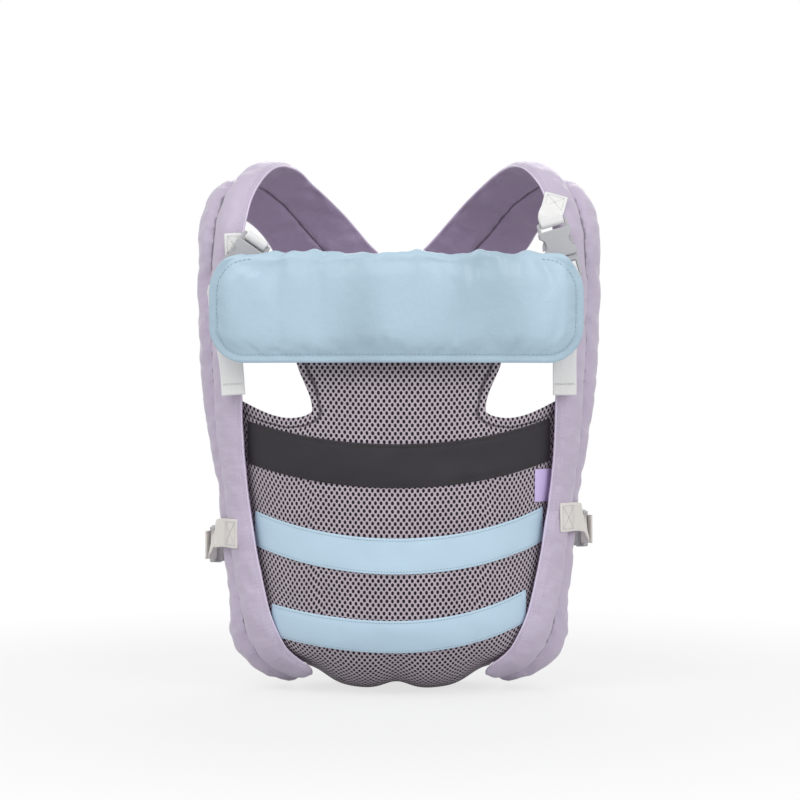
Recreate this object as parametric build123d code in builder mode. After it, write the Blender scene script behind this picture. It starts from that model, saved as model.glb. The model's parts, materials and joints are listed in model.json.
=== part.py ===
"""Soft baby carrier: front panel, padded shoulder straps crossing behind, folding head flap.

Millimetres. X to the wearer's left, the front faces -Y, Z up, the origin under the middle.
"""
import math
import os

from build123d import *

os.makedirs("parts", exist_ok=True)

# ---- driving dimensions ----
CLEAR = 0.3  # air between neighbouring cloth layers
MESH_T = 2.4  # spacer mesh of the front panel
BAND_T = 1.2  # sewn cloth bands
TAB_T = 0.8  # blank satin tab
WEB_T = 1.4  # webbing

STRAP_W = 70.0  # padded shoulder strap, across
STRAP_T = 12.0  # padded shoulder strap, through each channel
STRAP_EDGE_T = 3.0  # strap at its stitched edges
STRAP_SEAM_T = 6.4  # strap at the seam down its middle
COVER_T = 1.1  # strap cover cloth with its lining
STRAP_OVER = STRAP_T + 4.0  # how far the upper strap of the crossing stands off

UPPER_WEB = 20.0  # webbing of the upper buckles
HIP_WEB = 25.0  # webbing of the hip buckles

HEAD_A = 240.0  # head panel curve, half width of its ellipse
HEAD_B = 104.0  # head panel curve, half depth of its ellipse
HEAD_HALF = 144.6  # head panel, half width
HEAD_LOW = 296.0
HEAD_HIGH = 370.0
HEAD_T = 6.0
FLAP_HALF = 153.0  # folding head flap, half width
FLAP_LOW = 280.5
FLAP_HIGH = 373.5
FLAP_T = 13.0
FLAP_CORNER = 28.0
FLAP_CORNER_TOP = 31.0
FLAP_GAP = 0.8  # between the head panel and the folded flap
FLAP_SHELL = 1.2  # flap cloth
FLAP_HEM = 10.0  # stitched hem round the flap's wadding
SPINE_R = 1.1  # elastic in the fold

BUCKLE_T = 8.5  # buckle housing, through
BUCKLE_L = 30.0  # buckle housing, along
BUCKLE_RIM = 4.0  # housing beyond the webbing, each side
BUCKLE_WALL = 2.0
BUCKLE_GAP = 0.4
STROKE = 28.0  # how far a buckle's inner half pulls out

# ---- the form the front panel lies on: height, half width, half depth ----
PANEL_FORM = [
    (2.8, 40.0, 34.0),
    (6.0, 57.0, 52.0),
    (12.0, 69.0, 66.0),
    (18.0, 79.0, 75.0),
    (26.0, 95.0, 83.0),
    (40.0, 118.0, 91.0),
    (75.0, 131.0, 99.0),
    (115.0, 133.5, 102.0),
    (165.0, 138.0, 104.0),
    (215.0, 147.0, 104.0),
    (252.0, 156.0, 104.0),
    (285.0, 200.0, 104.0),
    (320.0, HEAD_A, HEAD_B),
]
# the form under the straps, from the lowest free band upward
SIDE_FORM = [
    (62.0, 131.0, 97.0),
    (75.0, 131.0, 99.0),
    (115.0, 133.5, 102.0),
    (165.0, 138.0, 104.0),
    (215.0, 147.0, 104.0),
    (252.0, 154.0, 104.0),
    (300.0, 159.0, 104.0),
    (370.0, 159.0, 104.0),
]
# inner edge of the strap on the front: height, distance from the middle
INNER_EDGE = [
    (62.0, 104.0),
    (85.0, 111.0),
    (122.0, 117.5),
    (163.0, 123.0),
    (210.0, 128.0),
    (252.0, 129.0),
    (300.0, 130.0),
    (370.0, 131.0),
]

STRAP_LIFT = MESH_T + BAND_T + 1.5 * CLEAR  # strap underside above the form


def read(stations, height, column=1):
    """Value at a height, between stations that rise."""
    if height <= stations[0][0]:
        return stations[0][column]
    for low, high in zip(stations, stations[1:]):
        if height <= high[0]:
            share = (height - low[0]) / (high[0] - low[0])
            return low[column] + share * (high[column] - low[column])
    return stations[-1][column]


def save(solid, name):
    """Write one node."""
    solid.label = name
    export_step(solid, f"parts/{name}.step")


# ---- cloth on the form ----
def form_solid(lift):
    """The form grown outward by a lift, closed, as one loft."""
    count = len(PANEL_FORM)
    with BuildPart() as body:
        for index, (height, half_width, half_depth) in enumerate(PANEL_FORM):
            below = PANEL_FORM[max(index - 1, 0)]
            above = PANEL_FORM[min(index + 1, count - 1)]
            rise = above[0] - below[0]
            spread = (above[1] + above[2] - below[1] - below[2]) / 2
            if height > 200:
                spread = 0
            size = math.hypot(rise, spread)
            side = lift * rise / size
            drop = lift * spread / size
            with BuildSketch(Plane.XY.offset(height - drop)):
                Ellipse(half_width + side, half_depth + side)
        loft()
    return body.part


def cloth_on_form(outline, inner_lift, outer_lift, reach=150.0):
    """Cloth between two lifts of the form, cut to an outline seen from the front."""
    with BuildPart() as cloth:
        add(form_solid(outer_lift))
        add(form_solid(inner_lift), mode=Mode.SUBTRACT)
        with BuildSketch(Plane.XZ):
            add(outline)
        extrude(amount=reach, mode=Mode.INTERSECT)
    return cloth.part


SEAT_BACK = 30.0  # how far the panel runs back under the seat
SEAT_HALF = 80.0
SEAT_RISE = 24.0
TUCK = 12.0  # panel and bands run this far under the strap
NECK_HALF = 87.0
NOTCH = (73.0, 240.0)  # lower inner corner of each arm opening
NOTCH_DIP = (94.0, 235.0)
NOTCH_OUT = (138.0, 250.5)
NECK_TOP = 312.0

# the panel seen from the front, right half
panel_side = [
    (SEAT_HALF, 22.0),
    (94.0, 32.0),
    (106.0, 46.0),
    (113.0, 62.0),
    (122.0, 85.0),
    (129.0, 122.0),
    (134.0, 163.0),
    (138.0, 210.0),
    NOTCH_OUT,
]
neck_side = [NOTCH, (76.0, 256.0), (83.0, 272.0), (NECK_HALF, 284.0), (NECK_HALF, NECK_TOP)]


def flip(points):
    """The same points on the other side, in reverse order."""
    return [(-x, z) for x, z in reversed(points)]


with BuildSketch() as panel_outline:
    with BuildLine():
        Line((-SEAT_HALF, -6.0), (SEAT_HALF, -6.0))
        Line((SEAT_HALF, -6.0), panel_side[0])
        Spline(*panel_side)
        Spline(NOTCH_OUT, (116.0, 240.5), NOTCH_DIP, NOTCH)
        Spline(*neck_side)
        Line((NECK_HALF, NECK_TOP), (-NECK_HALF, NECK_TOP))
        Spline(*flip(neck_side))
        Spline(*flip([NOTCH_OUT, (116.0, 240.5), NOTCH_DIP, NOTCH]))
        Spline(*flip(panel_side))
        Line((-SEAT_HALF, 22.0), (-SEAT_HALF, -6.0))
    make_face()

with BuildPart() as seat_panel:
    add(form_solid(MESH_T))
    add(form_solid(0), mode=Mode.SUBTRACT)
    with BuildSketch(Plane.XZ.offset(-SEAT_BACK)):
        add(panel_outline.sketch)
    extrude(amount=150 + SEAT_BACK, mode=Mode.INTERSECT)
    # behind the middle only the part under the seat stays
    with BuildSketch(Plane.XY.offset(SEAT_RISE)):
        with Locations((0, SEAT_BACK)):
            Rectangle(400, 2 * SEAT_BACK + 12)
    extrude(amount=400, mode=Mode.SUBTRACT)
save(seat_panel.part, "seat_panel")

# ---- three bands across the panel: middle height, rise at each end, width, ends ----
BANDS = {
    "black_band": (195.3, 20.0, 22.5, 36.5, 127.0),
    "blue_band_upper": (120.2, 21.5, 25.0, 30.0, 121.0),
    "blue_band_lower": (52.5, 11.5, 24.0, 28.0, 106.0),
}


def band_outline(middle, rise_left, rise_right, width, end):
    """A smile-shaped band seen from the front."""
    ends = end + 3.0
    low = [
        (-ends, middle + rise_left - width / 2 - 1.0),
        (-0.55 * end, middle + 0.26 * rise_left - width / 2),
        (0, middle - width / 2),
        (0.55 * end, middle + 0.26 * rise_right - width / 2),
        (ends, middle + rise_right - width / 2 - 1.0),
    ]
    high = [(x, z + width) for x, z in reversed(low)]
    with BuildSketch() as outline:
        with BuildLine():
            Spline(*low)
            Line(low[-1], high[0])
            Spline(*high)
            Line(high[-1], low[0])
        make_face()
    return outline.sketch


BAND_IN = MESH_T + CLEAR
for band_name, sizes in BANDS.items():
    band = cloth_on_form(band_outline(*sizes), BAND_IN, BAND_IN + BAND_T)
    save(band, band_name)

TAB_LOW = 163.0
TAB_HIGH = 191.5
TAB_IN = 115.5
with BuildSketch() as tab_outline:
    with Locations((TAB_IN + 8, (TAB_LOW + TAB_HIGH) / 2)):
        Rectangle(16.0, TAB_HIGH - TAB_LOW)
save(cloth_on_form(tab_outline.sketch, BAND_IN, BAND_IN + TAB_T), "side_tab")


# ---- head panel and the flap folded down over it ----
def head_shell(inner, outer, half, low, high, corner_low, corner_high):
    """Part of an upright oval tube, cut to a rounded rectangle seen from the front."""
    with BuildPart() as shell:
        with BuildSketch(Plane.XY.offset(low - 5)):
            Ellipse(HEAD_A + outer, HEAD_B + outer)
            Ellipse(HEAD_A + inner, HEAD_B + inner, mode=Mode.SUBTRACT)
        extrude(amount=high - low + 10)
    with BuildPart() as cut:
        with BuildSketch(Plane.XZ) as face:
            with Locations((0, (low + high) / 2)):
                Rectangle(2 * half, high - low)
            fillet(face.vertices().sort_by(Axis.Y)[:2], corner_low)
            fillet(face.vertices().sort_by(Axis.Y)[-2:], corner_high)
        extrude(amount=200)
        add(shell.part, mode=Mode.INTERSECT)
    return cut.part


HEAD_IN = MESH_T + 3 * CLEAR
FLAP_IN = HEAD_IN + HEAD_T + FLAP_GAP
head_panel = head_shell(HEAD_IN, HEAD_IN + HEAD_T, HEAD_HALF, HEAD_LOW, HEAD_HIGH - 6, 8, 8)
save(head_panel, "head_panel")

flap_body = head_shell(
    FLAP_IN, FLAP_IN + FLAP_T, FLAP_HALF, FLAP_LOW, FLAP_HIGH, FLAP_CORNER, FLAP_CORNER_TOP
)
flap_hollow = head_shell(
    FLAP_IN + FLAP_SHELL,
    FLAP_IN + FLAP_T - FLAP_SHELL,
    FLAP_HALF - FLAP_HEM,
    FLAP_LOW + FLAP_HEM,
    FLAP_HIGH - 6,
    FLAP_CORNER - FLAP_HEM,
    FLAP_CORNER_TOP - FLAP_HEM,
)
with BuildPart() as head_flap_cover:
    add(flap_body)
    add(flap_hollow, mode=Mode.SUBTRACT)
save(head_flap_cover.part, "head_flap_cover")
flap_foam = head_shell(
    FLAP_IN + FLAP_SHELL + CLEAR,
    FLAP_IN + FLAP_T - FLAP_SHELL - CLEAR,
    FLAP_HALF - FLAP_HEM - CLEAR,
    FLAP_LOW + FLAP_HEM + CLEAR,
    FLAP_HIGH - 6 - CLEAR,
    FLAP_CORNER - FLAP_HEM - CLEAR,
    FLAP_CORNER_TOP - FLAP_HEM - CLEAR,
)
save(flap_foam, "head_flap_foam")

# elastic of the fold, on top of the head panel and behind the flap's upper edge
SPINE_AT = FLAP_IN - FLAP_GAP - SPINE_R
SPINE_Z = HEAD_HIGH - 6 + CLEAR + SPINE_R
with BuildPart() as fold_elastic:
    with BuildSketch(Plane.XY.offset(SPINE_Z - SPINE_R)):
        Ellipse(HEAD_A + SPINE_AT + SPINE_R, HEAD_B + SPINE_AT + SPINE_R)
        Ellipse(HEAD_A + SPINE_AT - SPINE_R, HEAD_B + SPINE_AT - SPINE_R, mode=Mode.SUBTRACT)
        with Locations((0, -200)):
            Rectangle(2 * HEAD_HALF - 30, 400, mode=Mode.INTERSECT)
    extrude(amount=2 * SPINE_R)
save(fold_elastic.part, "fold_elastic")


# ---- padded shoulder straps ----
def side_point(height, inner_x, lift):
    """Middle of the strap's underside at a height, and the way it faces."""
    half_width = read(SIDE_FORM, height, 1) + lift
    half_depth = read(SIDE_FORM, height, 2) + lift
    turn = math.acos(min(inner_x / half_width, 1.0))
    run = 0.0
    step = 0.002
    while run < STRAP_W / 2:
        run += step * math.hypot(half_width * math.sin(turn), half_depth * math.cos(turn))
        turn -= step
    x = half_width * math.cos(turn)
    y = -half_depth * math.sin(turn)
    normal = Vector(x / half_width**2, y / half_depth**2, 0).normalized()
    return (x, y, height), (normal.X, normal.Y, 0.0)


FRONT_HEIGHTS = [75.0, 110.0, 150.0, 190.0, 230.0, 270.0, 310.0, 350.0]
FRONT_BEND = 6.0


def strap_stations(over):
    """Underside middle, facing, bend across and thickness share, from seat to the far end."""
    stations = [
        ((80.0, -25.0, 13.0), (0.20, -0.28, -0.93), 0.8, 0.55),
        ((94.0, -27.5, 18.0), (0.32, -0.34, -0.88), 1.5, 0.72),
        ((107.5, -30.0, 26.5), (0.56, -0.46, -0.69), 3.0, 0.88),
        ((122.6, -35.3, 46.0), (0.72, -0.56, -0.36), 4.0, 1.0),
    ]
    for height in FRONT_HEIGHTS:
        point, normal = side_point(height, read(INNER_EDGE, height), STRAP_LIFT)
        stations.append((point, normal, FRONT_BEND, 1.0))
    back = over
    stations += [
        ((152.0, -42.0, 385.0), (0.84, -0.54, 0.08), 5.5, 1.0),
        ((148.5, -33.0, 412.0), (0.74, -0.50, 0.46), 4.0, 1.0),
        ((140.0, -15.0, 432.0), (0.58, -0.25, 0.78), 2.0, 1.0),
        ((129.0, 10.0, 439.5), (0.45, 0.06, 0.89), 0.5, 1.0),
        ((113.0, 38.0, 431.5), (0.34, 0.42, 0.84), 0.0, 1.0),
        ((92.0, 64.0 + 0.4 * back, 412.0), (0.22, 0.74, 0.64), 0.0, 1.0),
        ((64.0, 84.0 + 0.8 * back, 382.0), (0.12, 0.92, 0.38), 0.0, 1.0),
        ((34.0, 94.0 + back, 350.0), (0.05, 0.99, 0.14), 0.0, 1.0),
        ((2.0, 96.0 + back, 314.0), (0.0, 1.0, 0.0), 0.0, 1.0),
        ((-26.0, 95.0 + back, 282.0), (-0.02, 1.0, -0.02), 0.0, 0.85),
        ((-45.0, 93.0 + back, 259.0), (-0.03, 1.0, -0.05), 0.0, 0.6),
    ]
    return stations


def station_planes(points, normals, side=1):
    """Planes square to a path, x across from the inner edge to the outer, y the way it faces."""
    planes = []
    last = len(points) - 1
    for index, (point, normal) in enumerate(zip(points, normals)):
        ahead = Vector(points[min(index + 1, last)]) - Vector(points[max(index - 1, 0)])
        ahead = ahead.normalized()
        across = ahead.cross(Vector(normal)).normalized() * side
        planes.append(Plane(origin=point, x_dir=across, z_dir=ahead * -side))
    return planes


LAYERS = {  # inset from the faces, inset from the edges, half thickness at the edges
    "cover": (0.0, 0.0, 1.5),
    "hollow": (COVER_T, 5.0, 0.55),
    "padding": (COVER_T + CLEAR, 6.0, 0.2),
}


def quilted_section(width, thick, bend, layer):
    """Upper and lower outline of two padded channels, for the cover, its hollow or padding."""
    inset, margin, edge = LAYERS[layer]
    share = thick / STRAP_T
    half = width / 2 - margin
    middle = STRAP_EDGE_T * share / 2
    edge = edge * share
    top = thick - inset
    seam = STRAP_SEAM_T * share - inset

    def bow(u):
        return bend * (1 - (2 * u / width) ** 2) - bend * 0.5

    outer = [(half, middle + edge), (0.78 * half, 0.84 * top), (0.5 * half, top)]
    outer += [(0.2 * half, 0.86 * top), (0.0, seam)]
    outer += [(-u, v) for u, v in reversed(outer[:-1])]
    inner = [(-half, middle - edge), (-0.5 * half, inset), (0.0, inset + 0.3)]
    inner += [(0.5 * half, inset), (half, middle - edge)]
    return [[(u, v + bow(u)) for u, v in line] for line in (outer, inner)]


def strap_loft(side, over, layer):
    """The strap, or the inside of its cover, or its padding, as one loft."""
    stations = strap_stations(over)
    points = [(side * p[0], p[1], p[2]) for p, n, b, t in stations]
    normals = [(side * n[0], n[1], n[2]) for p, n, b, t in stations]
    planes = station_planes(points, normals, side)
    with BuildPart() as body:
        for plane, (point, normal, bend, share) in zip(planes, stations):
            outer, inner = quilted_section(STRAP_W, STRAP_T * share, bend, layer)
            with BuildSketch(plane):
                with BuildLine():
                    Spline(*outer)
                    Line(outer[-1], inner[0])
                    Spline(*inner)
                    Line(inner[-1], outer[0])
                make_face()
        loft()
    return body.part


PAD_LOW = 27.0  # the padding starts above the seat's fold
PAD_END = -22.0  # and ends past the crossing
REACH = 600.0


def padded_length(side, over, layer, gap):
    """The padded stretch of the strap's inside."""
    with BuildPart() as body:
        add(strap_loft(side, over, layer))
        with Locations((side * (PAD_END + gap + REACH / 2), 0, PAD_LOW + gap + REACH / 2)):
            Box(REACH, REACH, REACH, mode=Mode.INTERSECT)
    return body.part


for side, side_name, over in ((1, "right", STRAP_OVER), (-1, "left", 0.0)):
    with BuildPart() as strap_cover:
        add(strap_loft(side, over, "cover"))
        add(padded_length(side, over, "hollow", 0.0), mode=Mode.SUBTRACT)
    save(strap_cover.part, f"strap_cover_{side_name}")
    save(padded_length(side, over, "padding", CLEAR), f"strap_padding_{side_name}")


# ---- webbing ----
def ribbon(points, normals, width, thick=WEB_T):
    """Flat webbing through points, its broad side facing the normals."""
    planes = station_planes(points, normals)
    with BuildPart() as body:
        for plane in planes:
            with BuildSketch(plane):
                Rectangle(width, thick)
        loft(ruled=True)
    return body.part


TURN_R = 2.9  # webbing's middle radius round a bar
BAR_NEAR = -0.4  # centre of the female half's bar turn, from the housing's frame
BAR_FAR = 38.9  # centre of the male half's bar turn


def turn_path(frame, centre, facing, upper_leg, lower_leg):
    """Points and facings of webbing turned round a bar, lower leg first, legs to one side."""
    spots = [(centre + facing * lower_leg, -TURN_R, 0.0, -1.0)]
    spots.append((centre + facing * lower_leg / 2, -TURN_R, 0.0, -1.0))
    for step in range(7):
        angle = math.radians(30 * step)
        back = -facing * math.sin(angle)
        rise = -math.cos(angle)
        spots.append((centre + TURN_R * back, TURN_R * rise, back, rise))
    spots.append((centre + facing * upper_leg / 2, TURN_R, 0.0, 1.0))
    spots.append((centre + facing * upper_leg, TURN_R, 0.0, 1.0))
    points = [at(frame, along, outward) for along, outward, away, up in spots]
    normals = [triple(frame.x_dir * away + frame.z_dir * up) for along, outward, away, up in spots]
    return points, normals


# ---- side-release buckle: X pulls the male half out, Y across, Z outward ----
BAR_BACK = -1.8  # far edge of the webbing bar
BAR_FRONT = 1.0
SLOT_END = 5.8  # webbing slot between bar and housing
HOLLOW_AT = 8.0
HOLLOW_H = 5.0
WINDOW_AT = 12.0
WINDOW_L = 10.4
BAY_R = 7.0  # rounded bay in each side of the housing, where the prongs are squeezed
BAY_DEPTH = 4.2
PLATE_AT = BUCKLE_L + BUCKLE_GAP
PLATE_END = 48.5
PLATE_T = 5.0
FAR_SLOT_AT = 34.6
FAR_BAR_AT = 38.0
FAR_BAR_END = 41.2
END_BAR_AT = 45.2
TONGUE_HALF = 2.3
TONGUE_T = 3.4
TONGUE_AT = 12.0
LEAF_T = 2.0
LEAF_H = 4.2
HEAD_L = 8.6
ROOT_R = 1.9
ROOT_AT = BUCKLE_L - ROOT_R - 0.6
SHOULDER = 0.8  # rounding of the housing's edges


def female_half(web):
    """Housing with its webbing bar, hollow and side windows."""
    width = web + 2 * BUCKLE_RIM
    hollow = width - 2 * BUCKLE_WALL
    with BuildPart() as half:
        with BuildSketch(Plane.XY.offset(-BUCKLE_T / 2)):
            with Locations(((SLOT_END + BUCKLE_L) / 2, 0)):
                RectangleRounded(BUCKLE_L - SLOT_END, width, 1.8)
        extrude(amount=BUCKLE_T)
        chamfer(half.faces().sort_by(Axis.Z)[0].edges(), SHOULDER)
        chamfer(half.faces().sort_by(Axis.Z)[-1].edges(), SHOULDER)
        with BuildSketch(Plane.XY.offset(-2)):
            with Locations(((BAR_BACK + HOLLOW_AT) / 2, 0)):
                RectangleRounded(HOLLOW_AT - BAR_BACK, width - 1.6, 1.7)
        extrude(amount=4)
        with BuildSketch(Plane.XY.offset(-BUCKLE_T)):
            with Locations(((BAR_FRONT + SLOT_END) / 2, 0)):
                Rectangle(SLOT_END - BAR_FRONT, web + 1.4)
        extrude(amount=2 * BUCKLE_T, mode=Mode.SUBTRACT)
        for level in (-1, 1):
            with Locations(((BAR_BACK + BAR_FRONT) / 2 - 0.5, 0, level * 2.0)):
                Box(BAR_FRONT - BAR_BACK + 1.2, web + 1.4, 1.2, mode=Mode.SUBTRACT)
        with Locations(((HOLLOW_AT + BUCKLE_L) / 2 + 1, 0, 0)):
            Box(BUCKLE_L - HOLLOW_AT + 2, hollow, HOLLOW_H, mode=Mode.SUBTRACT)
        with Locations((WINDOW_AT + WINDOW_L / 2, 0, 0)):
            Box(WINDOW_L, width + 4, HOLLOW_H, mode=Mode.SUBTRACT)
        for way in (-1, 1):
            with Locations((WINDOW_AT + WINDOW_L / 2, way * (width / 2 + BAY_R - BAY_DEPTH), 0)):
                Cylinder(BAY_R, 2 * BUCKLE_T, mode=Mode.SUBTRACT)
    return half.part


def root_y(web):
    """Distance of a prong's root from the middle."""
    return web / 2 - 1.2


def male_half(web):
    """Plate with the webbing bars, the guide tongue and the prongs' root sockets."""
    width = web + 2 * BUCKLE_RIM - 2
    with BuildPart() as half:
        with BuildSketch(Plane.XY.offset(-PLATE_T / 2)):
            with Locations(((PLATE_AT + PLATE_END) / 2, 0)):
                RectangleRounded(PLATE_END - PLATE_AT, width, 1.6)
        extrude(amount=PLATE_T)
        chamfer(half.faces().sort_by(Axis.Z)[0].edges(), 0.6)
        chamfer(half.faces().sort_by(Axis.Z)[-1].edges(), 0.6)
        slot_w = web + 1.4
        for start, end in ((FAR_SLOT_AT, FAR_BAR_AT), (FAR_BAR_END, END_BAR_AT)):
            with Locations(((start + end) / 2, 0, 0)):
                Box(end - start, slot_w, 2 * PLATE_T, mode=Mode.SUBTRACT)
        for level in (-1, 1):
            with Locations(((FAR_SLOT_AT + PLATE_END) / 2 + 1, 0, level * 2.1)):
                Box(PLATE_END - FAR_SLOT_AT + 2, slot_w, 1.8, mode=Mode.SUBTRACT)
        with Locations(((TONGUE_AT + PLATE_AT) / 2 + 1, 0, 0)):
            Box(PLATE_AT - TONGUE_AT + 2, 2 * TONGUE_HALF, TONGUE_T)
        for way in (-1, 1):
            with Locations(((ROOT_AT + PLATE_AT) / 2 + 0.3, way * root_y(web), 0)):
                Box(PLATE_AT - ROOT_AT + 0.6, 2 * ROOT_R + 2.2, LEAF_H)
            with Locations((ROOT_AT, way * root_y(web), 0)):
                Cylinder(ROOT_R + CLEAR, LEAF_H + 1, mode=Mode.SUBTRACT)
    return half.part


def prong(web, way):
    """Springy arm with the head that latches in the housing's window."""
    wall_in = web / 2 + BUCKLE_RIM - BUCKLE_WALL
    tip = WINDOW_AT + 0.7
    inner = root_y(web) - LEAF_T / 2
    outer = wall_in + BUCKLE_WALL - 0.4
    with BuildPart() as arm:
        with Locations((ROOT_AT, way * root_y(web), 0)):
            Cylinder(ROOT_R, LEAF_H)
        with Locations(((tip + ROOT_AT) / 2 + 1, way * root_y(web), 0)):
            Box(ROOT_AT - tip - 2, LEAF_T, LEAF_H)
        with BuildSketch(Plane.XY.offset(-LEAF_H / 2)):
            with BuildLine():
                nose = (tip, way * (inner + 2.4))
                Line(nose, (tip, way * inner))
                Line((tip, way * inner), (tip + HEAD_L, way * inner))
                Line((tip + HEAD_L, way * inner), (tip + HEAD_L, way * outer))
                ThreePointArc((tip + HEAD_L, way * outer), (tip + 3.6, way * (outer - 0.9)), nose)
            make_face()
        extrude(amount=LEAF_H)
    return arm.part


def place(origin, pull, outward):
    """Frame of a buckle: origin on the bar, X the way the male half leaves, Z outward."""
    pull = Vector(pull).normalized()
    face = Vector(outward)
    face = (face - pull * face.dot(pull)).normalized()
    return Plane(origin=origin, x_dir=pull, z_dir=face)


def at(frame, along, outward, across=0.0):
    """A point given in a buckle's frame."""
    spot = frame.from_local_coords(Vector(along, across, outward))
    return (spot.X, spot.Y, spot.Z)


# origin on the bar, pull-out way, outward way
UPPER = {
    "right": place((128.8, -78.5, 399.0), (0.277, 0.0, -0.961), (0, -1, 0)),
    "left": place((-119.6, -80.0, 384.0), (-0.58, 0.0, -0.815), (0, -1, 0)),
}
HIP = {
    "right": place((165.0, 14.0, 136.0), (-0.31, 0.95, 0.0), (1, 0.3, 0)),
    "left": place((-165.0, 14.0, 122.0), (0.31, 0.95, 0.0), (-1, 0.3, 0)),
}


def triple(vector):
    return (vector.X, vector.Y, vector.Z)


for spot, frames, web in (("upper", UPPER, UPPER_WEB), ("hip", HIP, HIP_WEB)):
    for side_name, frame in frames.items():
        stem = f"{spot}_{side_name}"
        save(frame.location * female_half(web), f"buckle_female_{stem}")
        save(frame.location * male_half(web), f"buckle_male_{stem}")
        save(frame.location * prong(web, 1), f"prong_a_{stem}")
        save(frame.location * prong(web, -1), f"prong_b_{stem}")

# strap end of each upper buckle: a run sewn to the strap, then the turn round the bar
UPPER_LEG = 5.0
points, normals = turn_path(UPPER["right"], BAR_NEAR, -1, UPPER_LEG, UPPER_LEG)
run = [(134.0, -61.5, 424.5), (130.5, -66.5, 412.0)]
facing = triple(UPPER["right"].z_dir * -1)
anchor_right = ribbon(run + points, [facing] * len(run) + normals, UPPER_WEB)
save(anchor_right, "anchor_webbing_upper_right")

# the left one lies behind its buckle and comes back through the housing's slot
points, normals = turn_path(UPPER["left"], BAR_NEAR, 1, 0.6, 1.2)
frame = UPPER["left"]
facing = triple(frame.z_dir * -1)
run = [(-147.0, -73.4, 380.5), (-135.0, -73.6, 380.8)]
run += [at(frame, 9.5, -6.3), at(frame, 4.2, -5.7)]
through = [at(frame, 2.7, 2.0), at(frame, 3.5, 0.4), at(frame, 3.5, -1.8)]
slot_facing = triple(frame.x_dir)
half_facing = triple(frame.x_dir + frame.z_dir)
lie = [facing] * len(run) + normals + [half_facing, slot_facing, slot_facing]
save(ribbon(run + points + through, lie, UPPER_WEB), "anchor_webbing_upper_left")

# tail through each upper buckle's far bar, hanging behind the flap to its hem
TAIL_LOW = 254.0
UPPER_TAIL = {
    "right": [
        (140.0, -74.0, TAIL_LOW),
        (140.0, -74.2, 290.0),
        (141.0, -74.6, 322.0),
        (141.6, -75.0, 338.0),
    ],
    "left": [
        (-139.5, -74.0, TAIL_LOW),
        (-141.5, -74.2, 280.0),
        (-146.0, -74.6, 306.0),
        (-149.5, -75.2, 324.0),
        (-150.6, -76.4, 335.0),
    ],
}
FRONT_LEG = 15.0
for side_name, frame in UPPER.items():
    points, normals = turn_path(frame, BAR_FAR, 1, FRONT_LEG, 9.6)
    run = UPPER_TAIL[side_name]
    facing = triple(frame.z_dir * -1)
    web = ribbon(run + points, [facing] * len(run) + normals, UPPER_WEB)
    save(web, f"tail_webbing_upper_{side_name}")

# webbing sewn to the back of the head panel, up to each upper buckle
HEAD_RUN_LIFT = 4.7  # outward of the buckle's middle
for side, side_name, sink in ((1, "right", 1.2), (-1, "left", 3.4)):
    frame = UPPER[side_name]
    points = []
    for x, z in ((106.0, 309.0), (116.0, 317.0), (126.0, 326.0)):
        back = HEAD_B + HEAD_IN - CLEAR - WEB_T / 2
        y = -back * math.sqrt(1 - (x / (HEAD_A + HEAD_IN)) ** 2)
        points.append((side * x, y + sink, z))
    start = at(frame, BAR_FAR + 15.0, HEAD_RUN_LIFT)
    points += [start, at(frame, BAR_FAR + 7.0, HEAD_RUN_LIFT)]
    normals = [(side * 0.22, -0.97, 0.0)] * 3 + [(0, -1, 0)] * 2
    save(ribbon(points, normals, UPPER_WEB), f"head_webbing_{side_name}")

# hip webbing: from the strap's outer channel round its edge to the housing's bar
HIP_LEG = 10.0
for side, side_name, snug in ((1, "right", 0.2), (-1, "left", 1.8)):
    frame = HIP[side_name]
    level = frame.origin.Z
    run = [
        (side * (150.8 - snug), -38.6, level + 13.5),
        (side * (156.4 - snug), -23.0, level + 13.0),
        (side * 160.2, -9.5, level + 10.5),
        (side * 163.0, -3.0, level + 4.5),
    ]
    lie = [(-side * 0.93, 0.36, 0), (-side * 0.95, 0.31, 0), (-side, 0, 0), (-side, -0.1, 0)]
    points, normals = turn_path(frame, BAR_NEAR, -1, HIP_LEG - 2, HIP_LEG)
    save(ribbon(run + points, lie + normals, HIP_WEB), f"anchor_webbing_hip_{side_name}")

# tail through each hip buckle's far bar
for side, side_name in ((1, "right"), (-1, "left")):
    frame = HIP[side_name]
    points, normals = turn_path(frame, BAR_FAR, 1, FRONT_LEG, 13.0)
    droop = []
    for along, outward, fall in ((64.0, 3.0, 4.0), (72.0, 2.6, 16.0), (74.0, 2.2, 34.0)):
        x, y, z = at(frame, along, outward)
        droop.append((x, y, z - fall))
    out = triple(frame.z_dir)
    save(ribbon(points + droop, normals + [out] * 3, HIP_WEB), f"tail_webbing_hip_{side_name}")

# webbing from each padded end across to the hip buckle of the other side
BACK_RUN_LIFT = 5.2
for side, side_name, over in ((1, "right", 0.0), (-1, "left", STRAP_OVER)):
    frame = HIP[side_name]
    level = frame.origin.Z
    end_y = 102.5 + over
    points = [
        (side * 33.0, end_y + 4.6, 270.0),
        (side * 45.5, end_y + 0.6, 257.0),
        (side * 62.0, end_y - 0.6, 238.5),
        (side * 88.0, 98.0 + 0.6 * over, 208.0),
        (side * 116.0, 88.0 + 0.2 * over, 174.0),
        (side * 136.0, 74.0, level + 10.0),
    ]
    normals = [(0, 1, 0), (0, 1, 0), (side * 0.05, 1, 0.05), (side * 0.15, 1, 0)]
    normals += [(side * 0.5, 0.85, 0), (side * 0.8, 0.6, 0)]
    for along in (20.0, 12.0, 6.0):
        points.append(at(frame, BAR_FAR + along, -BACK_RUN_LIFT))
        normals.append(triple(frame.z_dir))
    save(ribbon(points, normals, HIP_WEB), f"back_webbing_{side_name}")
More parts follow.
